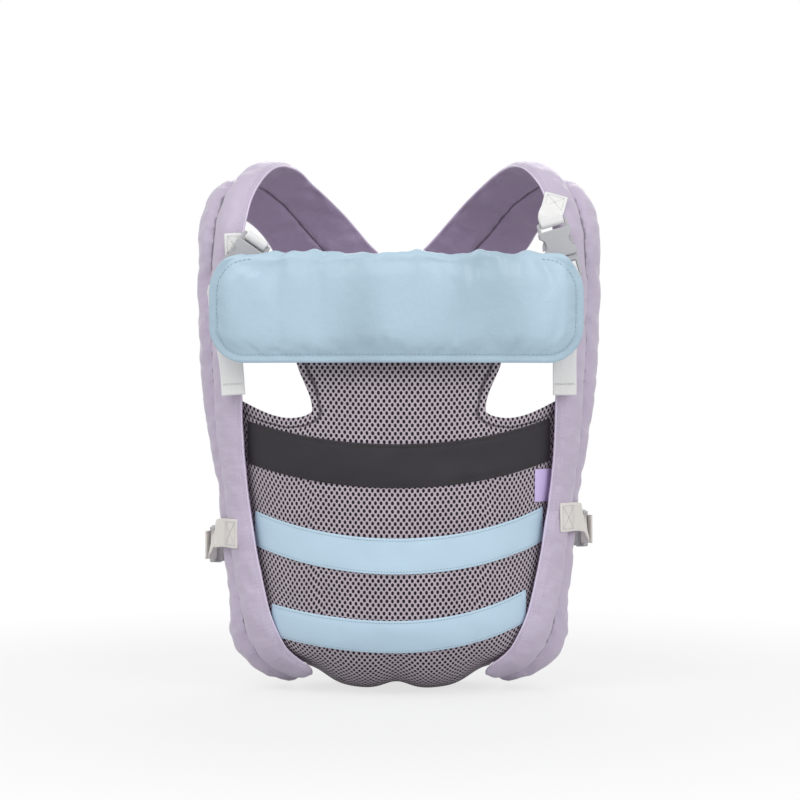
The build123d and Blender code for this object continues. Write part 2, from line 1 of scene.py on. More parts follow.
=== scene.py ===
"""Looks of a soft baby carrier, built round its packed frame.

The mesh panel, sewn bands, padded straps, folded head flap and webbing are cloth, made here
over the frame's solids; the side-release buckles are the frame's own, with a moulded finish.
"""

import json
import math
import random
from collections import namedtuple

import bmesh
import bpy
import numpy as np
from bpy.props import FloatProperty, FloatVectorProperty, PointerProperty
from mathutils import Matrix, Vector, noise
from mathutils.bvhtree import BVHTree


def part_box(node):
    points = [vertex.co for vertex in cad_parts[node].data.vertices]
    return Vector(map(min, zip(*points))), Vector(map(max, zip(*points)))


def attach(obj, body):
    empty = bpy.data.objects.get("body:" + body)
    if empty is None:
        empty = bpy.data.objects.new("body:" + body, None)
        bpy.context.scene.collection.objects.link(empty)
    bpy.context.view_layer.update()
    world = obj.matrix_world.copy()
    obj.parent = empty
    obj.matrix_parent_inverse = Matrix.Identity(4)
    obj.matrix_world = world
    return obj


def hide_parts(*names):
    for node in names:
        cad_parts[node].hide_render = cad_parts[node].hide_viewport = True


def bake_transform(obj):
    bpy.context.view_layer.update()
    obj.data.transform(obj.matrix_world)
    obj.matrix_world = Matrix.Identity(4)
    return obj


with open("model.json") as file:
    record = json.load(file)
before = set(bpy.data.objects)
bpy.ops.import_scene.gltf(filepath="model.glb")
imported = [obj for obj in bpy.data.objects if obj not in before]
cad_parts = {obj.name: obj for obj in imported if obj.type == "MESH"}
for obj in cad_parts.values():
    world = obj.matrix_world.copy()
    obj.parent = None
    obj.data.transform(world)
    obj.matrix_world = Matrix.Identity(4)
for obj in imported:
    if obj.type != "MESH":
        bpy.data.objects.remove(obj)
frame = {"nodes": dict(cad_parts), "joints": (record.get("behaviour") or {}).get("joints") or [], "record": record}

bl_info = {
    "name": "Soft baby carrier",
    "version": (1, 0, 0),
    "blender": (4, 5, 0),
    "location": "View3D > Sidebar > Carrier",
    "description": "Builds the cloth, stitching and finishes of a soft baby carrier",
    "category": "Object",
}

NODES = frame["nodes"]
JOINTS = {joint["name"]: joint for joint in frame["joints"]}
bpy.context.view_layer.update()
MM = 0.001
SIDES = ((1, "right"), (-1, "left"))


# ---- settings ----
def tint(name, description, colour):
    """A colour that a user may change."""
    return FloatVectorProperty(
        name=name, description=description, subtype="COLOR", size=3, min=0, max=1, default=colour
    )


def length(name, description, metres):
    """A length that a user may change."""
    return FloatProperty(
        name=name, description=description, default=metres, min=0, subtype="DISTANCE", unit="LENGTH"
    )


class CarrierPanelSettings(bpy.types.PropertyGroup):
    """The spacer mesh of the front panel."""

    thread: tint("Thread", "Colour of the mesh threads", (0.56, 0.48, 0.545))
    # the near-black hole colour is painted shade: the dark seen down the holes
    hole: tint("Hole", "Colour seen down the holes", (0.012, 0.008, 0.016))
    pitch: length("Hole pitch", "From one hole to the next along a row", 4.7 * MM)
    row: length("Row pitch", "From one row of holes to the next", 3.4 * MM)
    hem: length("Hem", "Width of the turned hem round the arm openings", 8 * MM)
    wave: length("Hem wave", "How far the lower hem waves", 3.4 * MM)


class CarrierBandSettings(bpy.types.PropertyGroup):
    """The three bands and the blank tab."""

    black: tint("Black", "Colour of the wide band", (0.024, 0.020, 0.026))
    blue: tint("Blue", "Colour of the two narrow bands", (0.55, 0.73, 0.87))
    tab: tint("Tab", "Colour of the blank satin tab", (0.70, 0.57, 0.93))
    inset: length("Stitch inset", "From a band's edge to its stitching", 2.2 * MM)


class CarrierStrapSettings(bpy.types.PropertyGroup):
    """The padded shoulder straps."""

    outer: tint("Outer cloth", "Colour of the strap's outer face", (0.565, 0.495, 0.625))
    # the lining's colour, darker than the outer cloth's, is painted shade on the strap's inner face
    lining: tint("Lining", "Colour of the strap's inner face", (0.41, 0.325, 0.47))
    wadding: tint("Wadding", "Colour of the padding", (0.80, 0.79, 0.78))
    pucker: length("Pucker", "Depth of the puckers along the seams", 0.9 * MM)
    gather: length("Pucker spacing", "Typical distance between puckers", 13 * MM)


class CarrierFlapSettings(bpy.types.PropertyGroup):
    """The padded head flap, folded down over the head panel."""

    cloth: tint("Cloth", "Colour of the flap's satin cloth", (0.435, 0.58, 0.69))
    stitch_in: length("Stitch inset", "From the flap's edge to its stitching", 7 * MM)
    gather: length("Gather", "Depth of the gathers along the fold", 2.8 * MM)


class CarrierWebSettings(bpy.types.PropertyGroup):
    """Webbing of the buckles."""

    upper: tint("Upper webbing", "Colour of the upper webbing", (0.93, 0.925, 0.92))
    hip: tint("Hip webbing", "Colour of the hip webbing", (0.88, 0.84, 0.80))
    thick: length("Thickness", "Thickness of the webbing", 1.4 * MM)
    rib: length("Rib", "Pitch of the woven ribs", 1.3 * MM)


class CarrierBuckleSettings(bpy.types.PropertyGroup):
    """The side-release buckles."""

    plastic: tint("Plastic", "Colour of the moulded halves", (0.50, 0.50, 0.52))
    roughness: FloatProperty(
        name="Roughness", description="How matt the moulding is", default=0.42, min=0, max=1,
        subtype="FACTOR",
    )


class CarrierStageSettings(bpy.types.PropertyGroup):
    """Floor, lamps and camera."""

    distance: length("Camera distance", "From the camera to the carrier's middle", 1.8)
    view: length("View width", "Width of the view at the carrier's middle", 0.704)
    height: length("Camera height", "Height of the level camera", 0.25)
    power: FloatProperty(
        name="Lamp power", description="Power of the main soft lamp", default=22.5, min=0, unit="POWER"
    )


SETTINGS = {
    "panel": CarrierPanelSettings,
    "band": CarrierBandSettings,
    "strap": CarrierStrapSettings,
    "flap": CarrierFlapSettings,
    "web": CarrierWebSettings,
    "buckle": CarrierBuckleSettings,
    "stage": CarrierStageSettings,
}


def chosen(kind):
    """The settings of one kind of piece."""
    return getattr(bpy.context.scene, f"carrier_{kind}")


# ---- node materials ----
class Finish:
    """A procedural material being built on one principled shader."""

    def __init__(self, name, colour, roughness, sheen=0.0):
        self.material = bpy.data.materials.new(name)
        self.material.use_nodes = True
        self.tree = self.material.node_tree
        self.shader = self.tree.nodes["Principled BSDF"]
        self.shader.inputs["Base Color"].default_value = (*colour, 1)
        self.shader.inputs["Roughness"].default_value = roughness
        self.shader.inputs["Sheen Weight"].default_value = sheen
        self.shader.inputs["Sheen Roughness"].default_value = 0.4
        self.shader.inputs["Specular IOR Level"].default_value = 0.35
        self.material.diffuse_color = (*colour, 1)

    def node(self, kind, **inputs):
        """Adds a node; inputs are sockets or values by socket name."""
        made = self.tree.nodes.new(f"ShaderNode{kind}")
        for name, value in inputs.items():
            self.feed(made.inputs[name.replace("_", " ")], value)
        return made

    def feed(self, socket, value):
        """Links a socket to another one, or gives it a value."""
        if isinstance(value, bpy.types.NodeSocket):
            self.tree.links.new(value, socket)
        else:
            socket.default_value = value

    def math(self, operation, first, second=0.0, third=0.0, clamp=False):
        """One arithmetic step."""
        made = self.tree.nodes.new("ShaderNodeMath")
        made.operation = operation
        made.use_clamp = clamp
        for socket, value in zip(made.inputs, (first, second, third)):
            self.feed(socket, value)
        return made.outputs[0]

    def ramp(self, value, low, high, start=0.0, end=1.0):
        """A smooth change from start to end as value goes from low to high."""
        made = self.tree.nodes.new("ShaderNodeMapRange")
        made.interpolation_type = "SMOOTHSTEP"
        for name, given in (("Value", value), ("From Min", low), ("From Max", high),
                            ("To Min", start), ("To Max", end)):
            self.feed(made.inputs[name], given)
        return made.outputs[0]

    def lay(self):
        """Distance across, distance along and distance from the edge, in metres of cloth."""
        made = self.tree.nodes.new("ShaderNodeAttribute")
        made.attribute_name = "lay"
        parts = self.node("SeparateXYZ", Vector=made.outputs["Vector"])
        return made.outputs["Vector"], parts.outputs[0], parts.outputs[1], parts.outputs[2]

    def place(self):
        """Place in the part, in metres."""
        made = self.tree.nodes.new("ShaderNodeTexCoord")
        return made.outputs["Object"]

    def grain(self, where, scale, detail=2.0, roughness=0.5):
        """Noise from 0 to 1 at a scale of repeats per metre."""
        made = self.node("TexNoise", Vector=where, Scale=scale, Detail=detail, Roughness=roughness)
        return made.outputs["Fac"]

    def blend(self, share, first, second):
        """Mixes two colours."""
        made = self.tree.nodes.new("ShaderNodeMix")
        made.data_type = "RGBA"
        self.feed(made.inputs["Factor"], share)
        for socket, value in ((made.inputs["A"], first), (made.inputs["B"], second)):
            colour = value if isinstance(value, bpy.types.NodeSocket) else (*value, 1)
            self.feed([s for s in made.inputs if s.name == socket.name and s.type == "RGBA"][0], colour)
        return [s for s in made.outputs if s.type == "RGBA"][0]

    def colour(self, value):
        """Sets the shader's colour."""
        self.feed(self.shader.inputs["Base Color"], value)

    def roughen(self, value):
        """Sets the shader's roughness."""
        self.feed(self.shader.inputs["Roughness"], value)

    def bump(self, height, distance, strength=1.0):
        """Relief of a given height in metres, on top of any relief already there."""
        made = self.node("Bump", Height=height, Distance=distance, Strength=strength)
        before = self.shader.inputs["Normal"].links
        if before:
            self.feed(made.inputs["Normal"], before[0].from_socket)
        self.feed(self.shader.inputs["Normal"], made.outputs["Normal"])


def darker(colour, share):
    """A colour scaled towards black."""
    return tuple(channel * share for channel in colour)


def lighter(colour, share):
    """A colour scaled up, with no channel past 1."""
    return tuple(min(channel * share, 1) for channel in colour)


def weave(finish, across, along, pitch):
    """Over and under of a plain weave, from 0 to 1."""
    turn = 2 * math.pi / pitch
    one = finish.math("SINE", finish.math("MULTIPLY", across, turn))
    two = finish.math("SINE", finish.math("MULTIPLY", along, turn))
    return finish.math("MULTIPLY_ADD", finish.math("MULTIPLY", one, two), 0.5, 0.5)


# ---- finishes ----
def satin_cloth(
    name, colour, sheen, roughness, dye_and_sheen=0.05, rumple=0.5, pucker=0.0, drape=False, seam=0.0, seam_shade_wide=0.0
):
    """Light woven nylon with a soft shine, faint rumples and an uneven tone from dyeing.

    pucker is the strength of the small gathers. With drape, the tone varies instead in upright bands
    of painted satin sheen. seam is how dark the painted shade in the groove of the drawn-in seam down
    the middle is, and the last argument how far that painted shade spreads at most.
    """
    finish = Finish(name, colour, roughness, sheen)
    where, across, along, _ = finish.lay()
    place = finish.place()
    # with drape, the colour's upright lighter and darker bands are painted satin sheen
    if drape:
        upright = finish.node("Mapping", Vector=place, Scale=(14, 14, 4))
        cloud = finish.ramp(finish.grain(upright.outputs[0], 1, 1, 0.4), 0.34, 0.66)
    else:
        cloud = finish.grain(place, 14, 3)
    thread = finish.grain(place, 900, 1)
    shade = finish.blend(cloud, darker(colour, 1 - dye_and_sheen), lighter(colour, 1 + dye_and_sheen))
    shade = finish.blend(finish.math("MULTIPLY", thread, 0.12), shade, darker(colour, 0.8))
    # painted shade: the cloth is darkened along the groove of the drawn-in seam down the middle, unevenly along it
    if seam:
        reach = finish.math("MULTIPLY_ADD", finish.grain(where, 170, 2), seam_shade_wide, 0.3 * MM)
        drawn = finish.math("DIVIDE", finish.math("ABSOLUTE", across), reach)
        drawn = finish.ramp(drawn, 0.4, 1.0, seam, 0.0)
        shade = finish.blend(drawn, shade, darker(colour, 0.3))
    finish.colour(shade)
    finish.roughen(finish.ramp(cloud, 0.2, 0.8, roughness - 0.05, roughness + 0.06))
    finish.bump(weave(finish, across, along, 0.9 * MM), 0.05 * MM, 0.35)
    finish.bump(finish.grain(place, 75, 3, 0.55), 1.6 * MM, rumple)
    if pucker:
        stretched = finish.node("Mapping", Vector=where, Scale=(70, 210, 1))
        finish.bump(finish.grain(stretched.outputs[0], 1, 2, 0.45), 1.5 * MM, pucker)
    return finish.material


def air_mesh(name, thread, hole, pitch, row):
    """Knitted spacer mesh: rows of oval holes, each row half a hole along from the last."""
    finish = Finish(name, thread, 0.62, 0.15)
    _, across, along, edge = finish.lay()
    place = finish.place()
    drift = finish.math("MULTIPLY", finish.grain(place, 55, 2), 1.1 * MM)
    rows = finish.math("DIVIDE", finish.math("ADD", along, drift), row)
    level = finish.math("FLOOR", rows)
    down = finish.math("SUBTRACT", finish.math("FRACT", rows), 0.5)
    shift = finish.math("MULTIPLY", finish.math("MODULO", level, 2.0), 0.5)
    steps = finish.math("ADD", finish.math("DIVIDE", finish.math("ADD", across, drift), pitch), shift)
    aside = finish.math("SUBTRACT", finish.math("FRACT", steps), 0.5)
    oval = finish.math(
        "ADD",
        finish.math("POWER", finish.math("ABSOLUTE", finish.math("MULTIPLY", aside, 3.6)), 2.0),
        finish.math("POWER", finish.math("ABSOLUTE", finish.math("MULTIPLY", down, 1.95)), 2.0),
    )
    uneven = finish.math("MULTIPLY", finish.grain(place, 420, 1), 0.3)
    open_share = finish.ramp(finish.math("ADD", oval, uneven), 0.8, 1.35, 1.0, 0.0)
    # the hem's stitch line runs where the edge share is one; it is darkened towards the hole colour as painted
    # shade in its groove
    seam = finish.math("ABSOLUTE", finish.math("SUBTRACT", edge, 1.0))
    seam = finish.ramp(seam, 0.35, 0.95, 1.0, 0.0)
    open_share = finish.math("MAXIMUM", open_share, finish.math("MULTIPLY", seam, 0.72))
    cloud = finish.grain(place, 30, 3)
    threads = finish.blend(cloud, darker(thread, 0.88), lighter(thread, 1.14))
    filament = finish.grain(place, 1500, 1)
    threads = finish.blend(finish.math("MULTIPLY", filament, 0.35), threads, darker(thread, 0.6))
    # painted shade: the holes and the hem's stitch line take the near-black hole colour, as the holes are not cut
    finish.colour(finish.blend(open_share, threads, hole))
    finish.roughen(finish.ramp(open_share, 0, 1, 0.55, 0.9))
    finish.bump(finish.math("SUBTRACT", 1.0, open_share), 0.9 * MM, 0.7)
    return finish.material


def band_cloth(name, colour, rib, sheen, roughness):
    """Close plain-woven tape with threads at a pitch of one rib."""
    finish = Finish(name, colour, roughness, sheen)
    _, across, along, _ = finish.lay()
    place = finish.place()
    cloud = finish.grain(place, 35, 3)
    tile = weave(finish, across, along, rib)
    # painted sheen: the raised threads of the weave are lightened
    pale = tuple(min(c * 1.25 + 0.01, 1) for c in colour)
    shade = finish.blend(cloud, darker(colour, 0.93), colour)
    finish.colour(finish.blend(finish.math("MULTIPLY", tile, 0.35), shade, pale))
    finish.bump(tile, 0.12 * MM, 0.5)
    finish.bump(finish.grain(place, 90, 3), 0.8 * MM, 0.35)
    return finish.material


def webbing_cloth(name, colour, rib):
    """Narrow woven webbing: fine ribs that slant away from its middle, and lanes along it."""
    finish = Finish(name, colour, 0.58, 0.2)
    _, across, along, _ = finish.lay()
    place = finish.place()
    slant = finish.math("MULTIPLY", finish.math("ABSOLUTE", across), 0.9)
    ribs = finish.math(
        "SINE", finish.math("MULTIPLY", finish.math("ADD", along, slant), 2 * math.pi / rib)
    )
    lanes = finish.math("SINE", finish.math("MULTIPLY", across, 2 * math.pi / (1.6 * rib)))
    woven = finish.math("ADD", ribs, finish.math("MULTIPLY", lanes, 0.5))
    relief = finish.math("MULTIPLY_ADD", woven, 0.33, 0.5)
    # painted shade: the low parts between the ribs are darkened
    shade = finish.blend(finish.math("MULTIPLY_ADD", relief, 0.5, 0.5), darker(colour, 0.78), colour)
    fuzz = finish.grain(place, 700, 2)
    finish.colour(finish.blend(finish.math("MULTIPLY", fuzz, 0.2), shade, darker(colour, 0.88)))
    finish.bump(relief, 0.16 * MM, 0.7)
    finish.bump(fuzz, 0.1 * MM, 0.3)
    return finish.material


def sewing_thread(name, colour):
    """Twisted polyester thread."""
    finish = Finish(name, colour, 0.45, 0.3)
    place = finish.place()
    finish.bump(finish.grain(place, 2500, 2), 0.06 * MM, 0.5)
    finish.colour(finish.blend(finish.grain(place, 500, 2), darker(colour, 0.85), colour))
    return finish.material


def moulded_plastic(name, colour, roughness):
    """Acetal moulding with a fine spark texture and a slightly uneven shine."""
    finish = Finish(name, colour, roughness)
    place = finish.place()
    cloud = finish.grain(place, 60, 3)
    finish.colour(finish.blend(cloud, darker(colour, 0.94), lighter(colour, 1.05)))
    finish.roughen(finish.ramp(finish.grain(place, 180, 3), 0.3, 0.75, roughness - 0.08, roughness + 0.1))
    finish.bump(finish.grain(place, 2600, 2), 0.05 * MM, 0.35)
    return finish.material


def foam_wadding(name, colour):
    """Soft white wadding inside the straps and the flap."""
    finish = Finish(name, colour, 0.9, 0.2)
    place = finish.place()
    fluff = finish.grain(place, 260, 5, 0.7)
    finish.colour(finish.blend(fluff, darker(colour, 0.82), colour))
    finish.bump(fluff, 1.0 * MM, 0.6)
    return finish.material


# ---- reading shapes from the frame ----
FRONT_Y = -0.3  # in front of the whole carrier, in metres, where rays start
BEHIND_Y = 0.1  # behind everything on the carrier's front, in metres
BACKWARD = Vector((0, 1, 0))
FORWARD = Vector((0, -1, 0))
LEVEL_CUT = np.array([0, 0, 1.0])  # a level plane's normal


def ray_tree(mesh):
    """Ray-casting tree of a mesh."""
    return BVHTree.FromPolygons(
        [v.co.copy() for v in mesh.vertices], [tuple(p.vertices) for p in mesh.polygons]
    )


def tree_of(node):
    """Ray-casting tree of one frame solid."""
    return ray_tree(NODES[node].data)


def on_solid(tree, origin, ahead):
    """Where a ray meets a solid, or the solid's nearest point to that ray."""
    spot = tree.ray_cast(origin, ahead)[0]
    if spot is None:
        near = origin + ahead * 0.2
        for _ in range(6):
            spot = tree.find_nearest(near)[0]
            near = origin + ahead * (spot - origin).dot(ahead)
    return spot


def front_of(tree, x, z):
    """Point of a solid's front face at a place across and up."""
    return on_solid(tree, Vector((x, FRONT_Y, z)), BACKWARD)


def back_of(tree, x, z):
    """Point of a solid's back face at a place across and up."""
    return on_solid(tree, Vector((x, BEHIND_Y, z)), FORWARD)


def triangles_of(node):
    """Corners of one frame solid's triangles."""
    mesh = NODES[node].data
    mesh.calc_loop_triangles()
    spots = np.array([v.co for v in mesh.vertices])
    corners = np.array([t.vertices for t in mesh.loop_triangles])
    return spots[corners]


def cut(triangles, origin, normal):
    """Line pieces where a plane meets the triangles, as pairs of end points."""
    depth = (triangles - origin) @ normal
    crossing = (depth.min(1) < 0) & (depth.max(1) >= 0)
    found = triangles[crossing]
    depth = depth[crossing]
    ends = []
    for first, second in ((0, 1), (1, 2), (2, 0)):
        span = depth[:, first] - depth[:, second]
        met = (depth[:, first] < 0) != (depth[:, second] < 0)
        share = np.where(met, depth[:, first] / np.where(span == 0, 1, span), 0)
        spot = found[:, first] + (found[:, second] - found[:, first]) * share[:, None]
        ends.append((met, spot))
    pieces = []
    for index in range(len(found)):
        pieces.append([spot[index] for met, spot in ends if met[index]][:2])
    return np.array([p for p in pieces if len(p) == 2])


def smooth(values, spread):
    """Gaussian average along the first axis, ends held."""
    values = np.asarray(values, float)
    reach = int(3 * spread) + 1
    kernel = np.exp(-0.5 * (np.arange(-reach, reach + 1) / spread) ** 2)
    kernel /= kernel.sum()
    flat = values.reshape(len(values), -1)
    first, last = flat[:1], flat[-1:]
    # mirrored about the end points, so that ends stay where they are
    head = 2 * first - flat[1:reach + 1][::-1]
    tail = 2 * last - flat[-reach - 1:-1][::-1]
    padded = np.vstack([head, flat, tail])
    out = np.stack([np.convolve(padded[:, k], kernel, "valid") for k in range(flat.shape[1])], 1)
    return out.reshape(values.shape)


def unit(vector):
    """The vector at a length of one."""
    return vector / np.linalg.norm(vector)


# ---- making meshes ----
def mesh_piece(name, spots, faces, lay=None, material=None, smooth_faces=True):
    """A mesh object; lay is each point's place on the flat cloth."""
    mesh = bpy.data.meshes.new(name)
    mesh.from_pydata([tuple(s) for s in spots], [], faces)
    if lay is not None:
        attribute = mesh.attributes.new("lay", "FLOAT_VECTOR", "POINT")
        attribute.data.foreach_set("vector", np.asarray(lay, np.float32).ravel())
    if material is not None:
        mesh.materials.append(material)
    mesh.update()
    if smooth_faces:
        mesh.shade_smooth()
    else:
        mesh.shade_flat()
    made = bpy.data.objects.new(name, mesh)
    bpy.context.scene.collection.objects.link(made)
    return made


def facing_out(piece):
    """Turns the faces of a closed mesh outward."""
    tool = bmesh.new()
    tool.from_mesh(piece.data)
    bmesh.ops.recalc_face_normals(tool, faces=tool.faces)
    tool.to_mesh(piece.data)
    tool.free()
    return piece


def subdivided(piece, levels=1):
    """Applies a subdivision surface."""
    modifier = piece.modifiers.new("smooth", "SUBSURF")
    modifier.levels = levels
    modifier.render_levels = levels
    return applied(piece)


def applied(piece):
    """The piece with its modifiers made part of its mesh."""
    bpy.context.view_layer.update()
    graph = bpy.context.evaluated_depsgraph_get()
    mesh = bpy.data.meshes.new_from_object(piece.evaluated_get(graph), depsgraph=graph)
    piece.modifiers.clear()
    old = piece.data
    piece.data = mesh
    bpy.data.meshes.remove(old)
    mesh.name = piece.name
    return piece


def grid_faces(rows, columns, start=0, flip=False):
    """Quads of a regular sheet of points."""
    faces = []
    for row in range(rows - 1):
        for column in range(columns - 1):
            corner = start + row * columns + column
            quad = (corner, corner + 1, corner + columns + 1, corner + columns)
            faces.append(quad[::-1] if flip else quad)
    return faces


def pillow_faces(rows, columns):
    """Quads of two equal sheets, outer then inner, joined round their rim."""
    count = rows * columns
    faces = grid_faces(rows, columns) + grid_faces(rows, columns, count, True)
    rim = [row * columns for row in range(rows)][::-1]
    rim += list(range(1, columns))
    rim += [row * columns + columns - 1 for row in range(1, rows)]
    rim += list(range((rows - 1) * columns + 1, rows * columns - 1))[::-1]
    for here, there in zip(rim, rim[1:] + rim[:1]):
        faces.append((here, there, there + count, here + count))
    return faces


def stitches(name, line, outward, material, pitch=3.0 * MM, share=0.72, thick=0.55 * MM, lift=0.1 * MM):
    """A run of sewn stitches along a line: each a short thread that dips at both ends."""
    line = np.asarray(line, float)
    outward = np.asarray(outward, float)
    if outward.ndim == 1:
        outward = np.repeat(outward[None], len(line), 0)
    steps = np.linalg.norm(np.diff(line, axis=0), axis=1)
    run = np.concatenate([[0], np.cumsum(steps)])
    count = max(int(run[-1] / pitch), 1)
    spots, faces = [], []
    profile = ((-0.5, -0.9), (-0.36, 0.35), (0.0, 0.75), (0.36, 0.35), (0.5, -0.9))
    for index in range(count):
        middle = (index + 0.5) * run[-1] / count
        base = len(spots)
        for along, rise in profile:
            at_run = min(max(middle + along * pitch * share, 0), run[-1])
            spot = np.array([np.interp(at_run, run, line[:, k]) for k in range(3)])
            up = unit(np.array([np.interp(at_run, run, outward[:, k]) for k in range(3)]))
            ahead = np.array([
                np.interp(min(at_run + MM, run[-1]), run, line[:, k])
                - np.interp(max(at_run - MM, 0), run, line[:, k]) for k in range(3)
            ])
            ahead = unit(ahead)
            side = unit(np.cross(ahead, up))
            up = np.cross(side, ahead)
            centre = spot + up * (lift + rise * thick / 2)
            for corner in range(6):
                angle = corner * math.pi / 3
                spots.append(centre + (side * math.cos(angle) + up * math.sin(angle) * 0.8) * thick / 2)
        for ring in range(len(profile) - 1):
            for corner in range(6):
                here = base + ring * 6 + corner
                there = base + ring * 6 + (corner + 1) % 6
                faces.append((here, there, there + 6, here + 6))
        faces.append(tuple(base + c for c in range(6))[::-1])
        faces.append(tuple(base + (len(profile) - 1) * 6 + c for c in range(6)))
    return mesh_piece(name, spots, faces, material=material)


def piping(name, line, radius, material):
    """A round rolled edge along a line."""
    line = np.array(line)
    ahead = np.array([unit(a) for a in np.gradient(line, axis=0)])
    side = np.array([unit(np.cross(a, (0.3, -1.0, 0.2))) for a in ahead])
    spots, lay, faces = [], [], []
    for index, (spot, one, way) in enumerate(zip(line, side, ahead)):
        two = np.cross(way, one)
        for turn in range(8):
            angle = math.pi * turn / 4
            spots.append(spot + (one * math.cos(angle) + two * math.sin(angle)) * radius)
            lay.append((radius * turn / 4, index * 4 * MM, 0))
        if index:
            here, last = index * 8, index * 8 - 8
            faces += [(last + k, last + (k + 1) % 8, here + (k + 1) % 8, here + k) for k in range(8)]
    faces += [tuple(range(8)), tuple(range(len(spots) - 8, len(spots)))]
    return facing_out(mesh_piece(name, spots, faces, lay, material))


def joined(name, pieces):
    """Several meshes as one object."""
    spots, faces, lay, materials, picks = [], [], [], [], []
    for piece in pieces:
        base = len(spots)
        mesh = piece.data
        spots += [tuple(v.co) for v in mesh.vertices]
        for material in mesh.materials:
            if material not in materials:
                materials.append(material)
        for face in mesh.polygons:
            faces.append(tuple(base + v for v in face.vertices))
            picks.append(materials.index(mesh.materials[face.material_index]))
        found = mesh.attributes.get("lay")
        lay += [tuple(d.vector) for d in found.data] if found else [(0, 0, 0)] * len(mesh.vertices)
        bpy.data.objects.remove(piece)
    made = mesh_piece(name, spots, faces, lay)
    for material in materials:
        made.data.materials.append(material)
    made.data.polygons.foreach_set("material_index", picks)
    return made


SWELL_CAP = 2.6 * MM  # how far cloth may swell outward
DENT_CAP = 0.7 * MM  # how far it may sink inward, clear of the wadding


def inflate(piece, held, pressure, frames, stiff, bend):
    """Blows cloth up between the points that stitching holds, then keeps that shape."""
    rest = np.array([v.co for v in piece.data.vertices])
    group = piece.vertex_groups.new(name="sewn")
    for index, weight in held.items():
        group.add([index], weight, "REPLACE")
    cloth = piece.modifiers.new("cloth", "CLOTH")
    cloth.settings.quality = 6
    cloth.settings.mass = 0.12
    cloth.settings.tension_stiffness = stiff
    cloth.settings.compression_stiffness = stiff
    cloth.settings.shear_stiffness = stiff * 0.4
    cloth.settings.bending_stiffness = bend
    cloth.settings.tension_damping = 6
    cloth.settings.compression_damping = 6
    cloth.settings.air_damping = 3
    cloth.settings.vertex_group_mass = "sewn"
    cloth.settings.pin_stiffness = 5
    cloth.settings.use_pressure = True
    cloth.settings.uniform_pressure_force = pressure
    cloth.settings.shrink_min = -0.05
    cloth.settings.effector_weights.gravity = 0
    cloth.collision_settings.use_collision = False
    cloth.point_cache.frame_start = 1
    cloth.point_cache.frame_end = frames
    scene = bpy.context.scene
    scene.gravity = (0, 0, 0)
    for step in range(1, frames + 1):
        scene.frame_set(step)
    graph = bpy.context.evaluated_depsgraph_get()
    moved = np.array([v.co for v in piece.evaluated_get(graph).data.vertices])
    piece.modifiers.clear()
    piece.vertex_groups.clear()
    scene.frame_set(1)
    shift = moved - rest
    normals = np.zeros(len(rest) * 3)
    piece.data.vertices.foreach_get("normal", normals)
    normals = normals.reshape(-1, 3)
    lift = (shift * normals).sum(1)
    size = np.where(lift > 0, SWELL_CAP, DENT_CAP)
    shift += normals * (size * np.tanh(lift / size) - lift)[:, None]
    piece.data.vertices.foreach_set("co", (rest + shift).astype(np.float32).ravel())
    piece.data.update()
    return piece


def hold(piece, body="carrier"):
    """Ties the piece to the body that it moves with."""
    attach(piece, body)
    return piece


# ---- cloth drape shared by everything that lies on the front ----
DRAPE = 1.6 * MM
DRAPE_HALF = 112 * MM  # the drape has faded out this far from the middle
FORM_WIDE, FORM_DEEP = 0.15, 0.104  # the front's oval form, halves in metres


def drape(x, z):
    """How far the front stands in or out of its even form, fading towards the straps."""
    fade = max(0.0, 1 - (abs(x) / DRAPE_HALF) ** 4)
    swell = noise.noise(Vector((x * 21, z * 27, 3.1))) + 0.5 * noise.noise(Vector((x * 55, z * 60, 9.7)))
    return DRAPE * fade * swell


def outward_at(x, y):
    """The way the front faces, level."""
    lean = Vector((x / FORM_WIDE**2, y / FORM_DEEP**2, 0))
    return lean.normalized() if lean.length > 0 else FORWARD


# ---- front panel ----
CURL_Z = 75 * MM  # below this the panel curls under the seat
CURL_TURNS = 34
# the arm opening's edge in mm, across and up: the side of the neck, then the lower edge outward
WINDOW_SIDE = [(87.0, 300.0), (86.5, 284.0), (83.0, 272.0), (76.0, 256.0)]
WINDOW_LOW = [(73.0, 240.0), (79.0, 236.6), (94.0, 235.0), (116.0, 240.5), (138.0, 250.5)]
WINDOW_IN = 73 * MM
WINDOW_OUT = 138 * MM
NECK_Z = 240 * MM
NECK_OUT = 90 * MM  # the neck is narrower than this, from the middle
PANEL_STEP = 2.6 * MM
INSIDE_RIM = 0.3 * MM  # a solid's face is read this far inside its rim
# where the seat's edge lifts between its lobes: middle, spread and rise
BOTTOM_LIFT = (
    (-2 * MM, 15 * MM, 5.0 * MM),
    (-70 * MM, 16 * MM, 3.0 * MM),
    (68 * MM, 16 * MM, 3.5 * MM),
)
LAID_WAVE = 2.6 * MM  # the hem wave that the rises above are given for


def window_edge(x):
    """Height of the arm opening's lower edge."""
    spots = np.array(WINDOW_LOW) * MM
    return float(np.interp(abs(x), spots[:, 0], spots[:, 1]))


def widest(pieces, test):
    """Largest distance from the middle among cut line pieces that pass a test."""
    spots = pieces.reshape(-1, 3)
    spots = spots[test(spots)]
    return float(np.abs(spots[:, 0]).max())


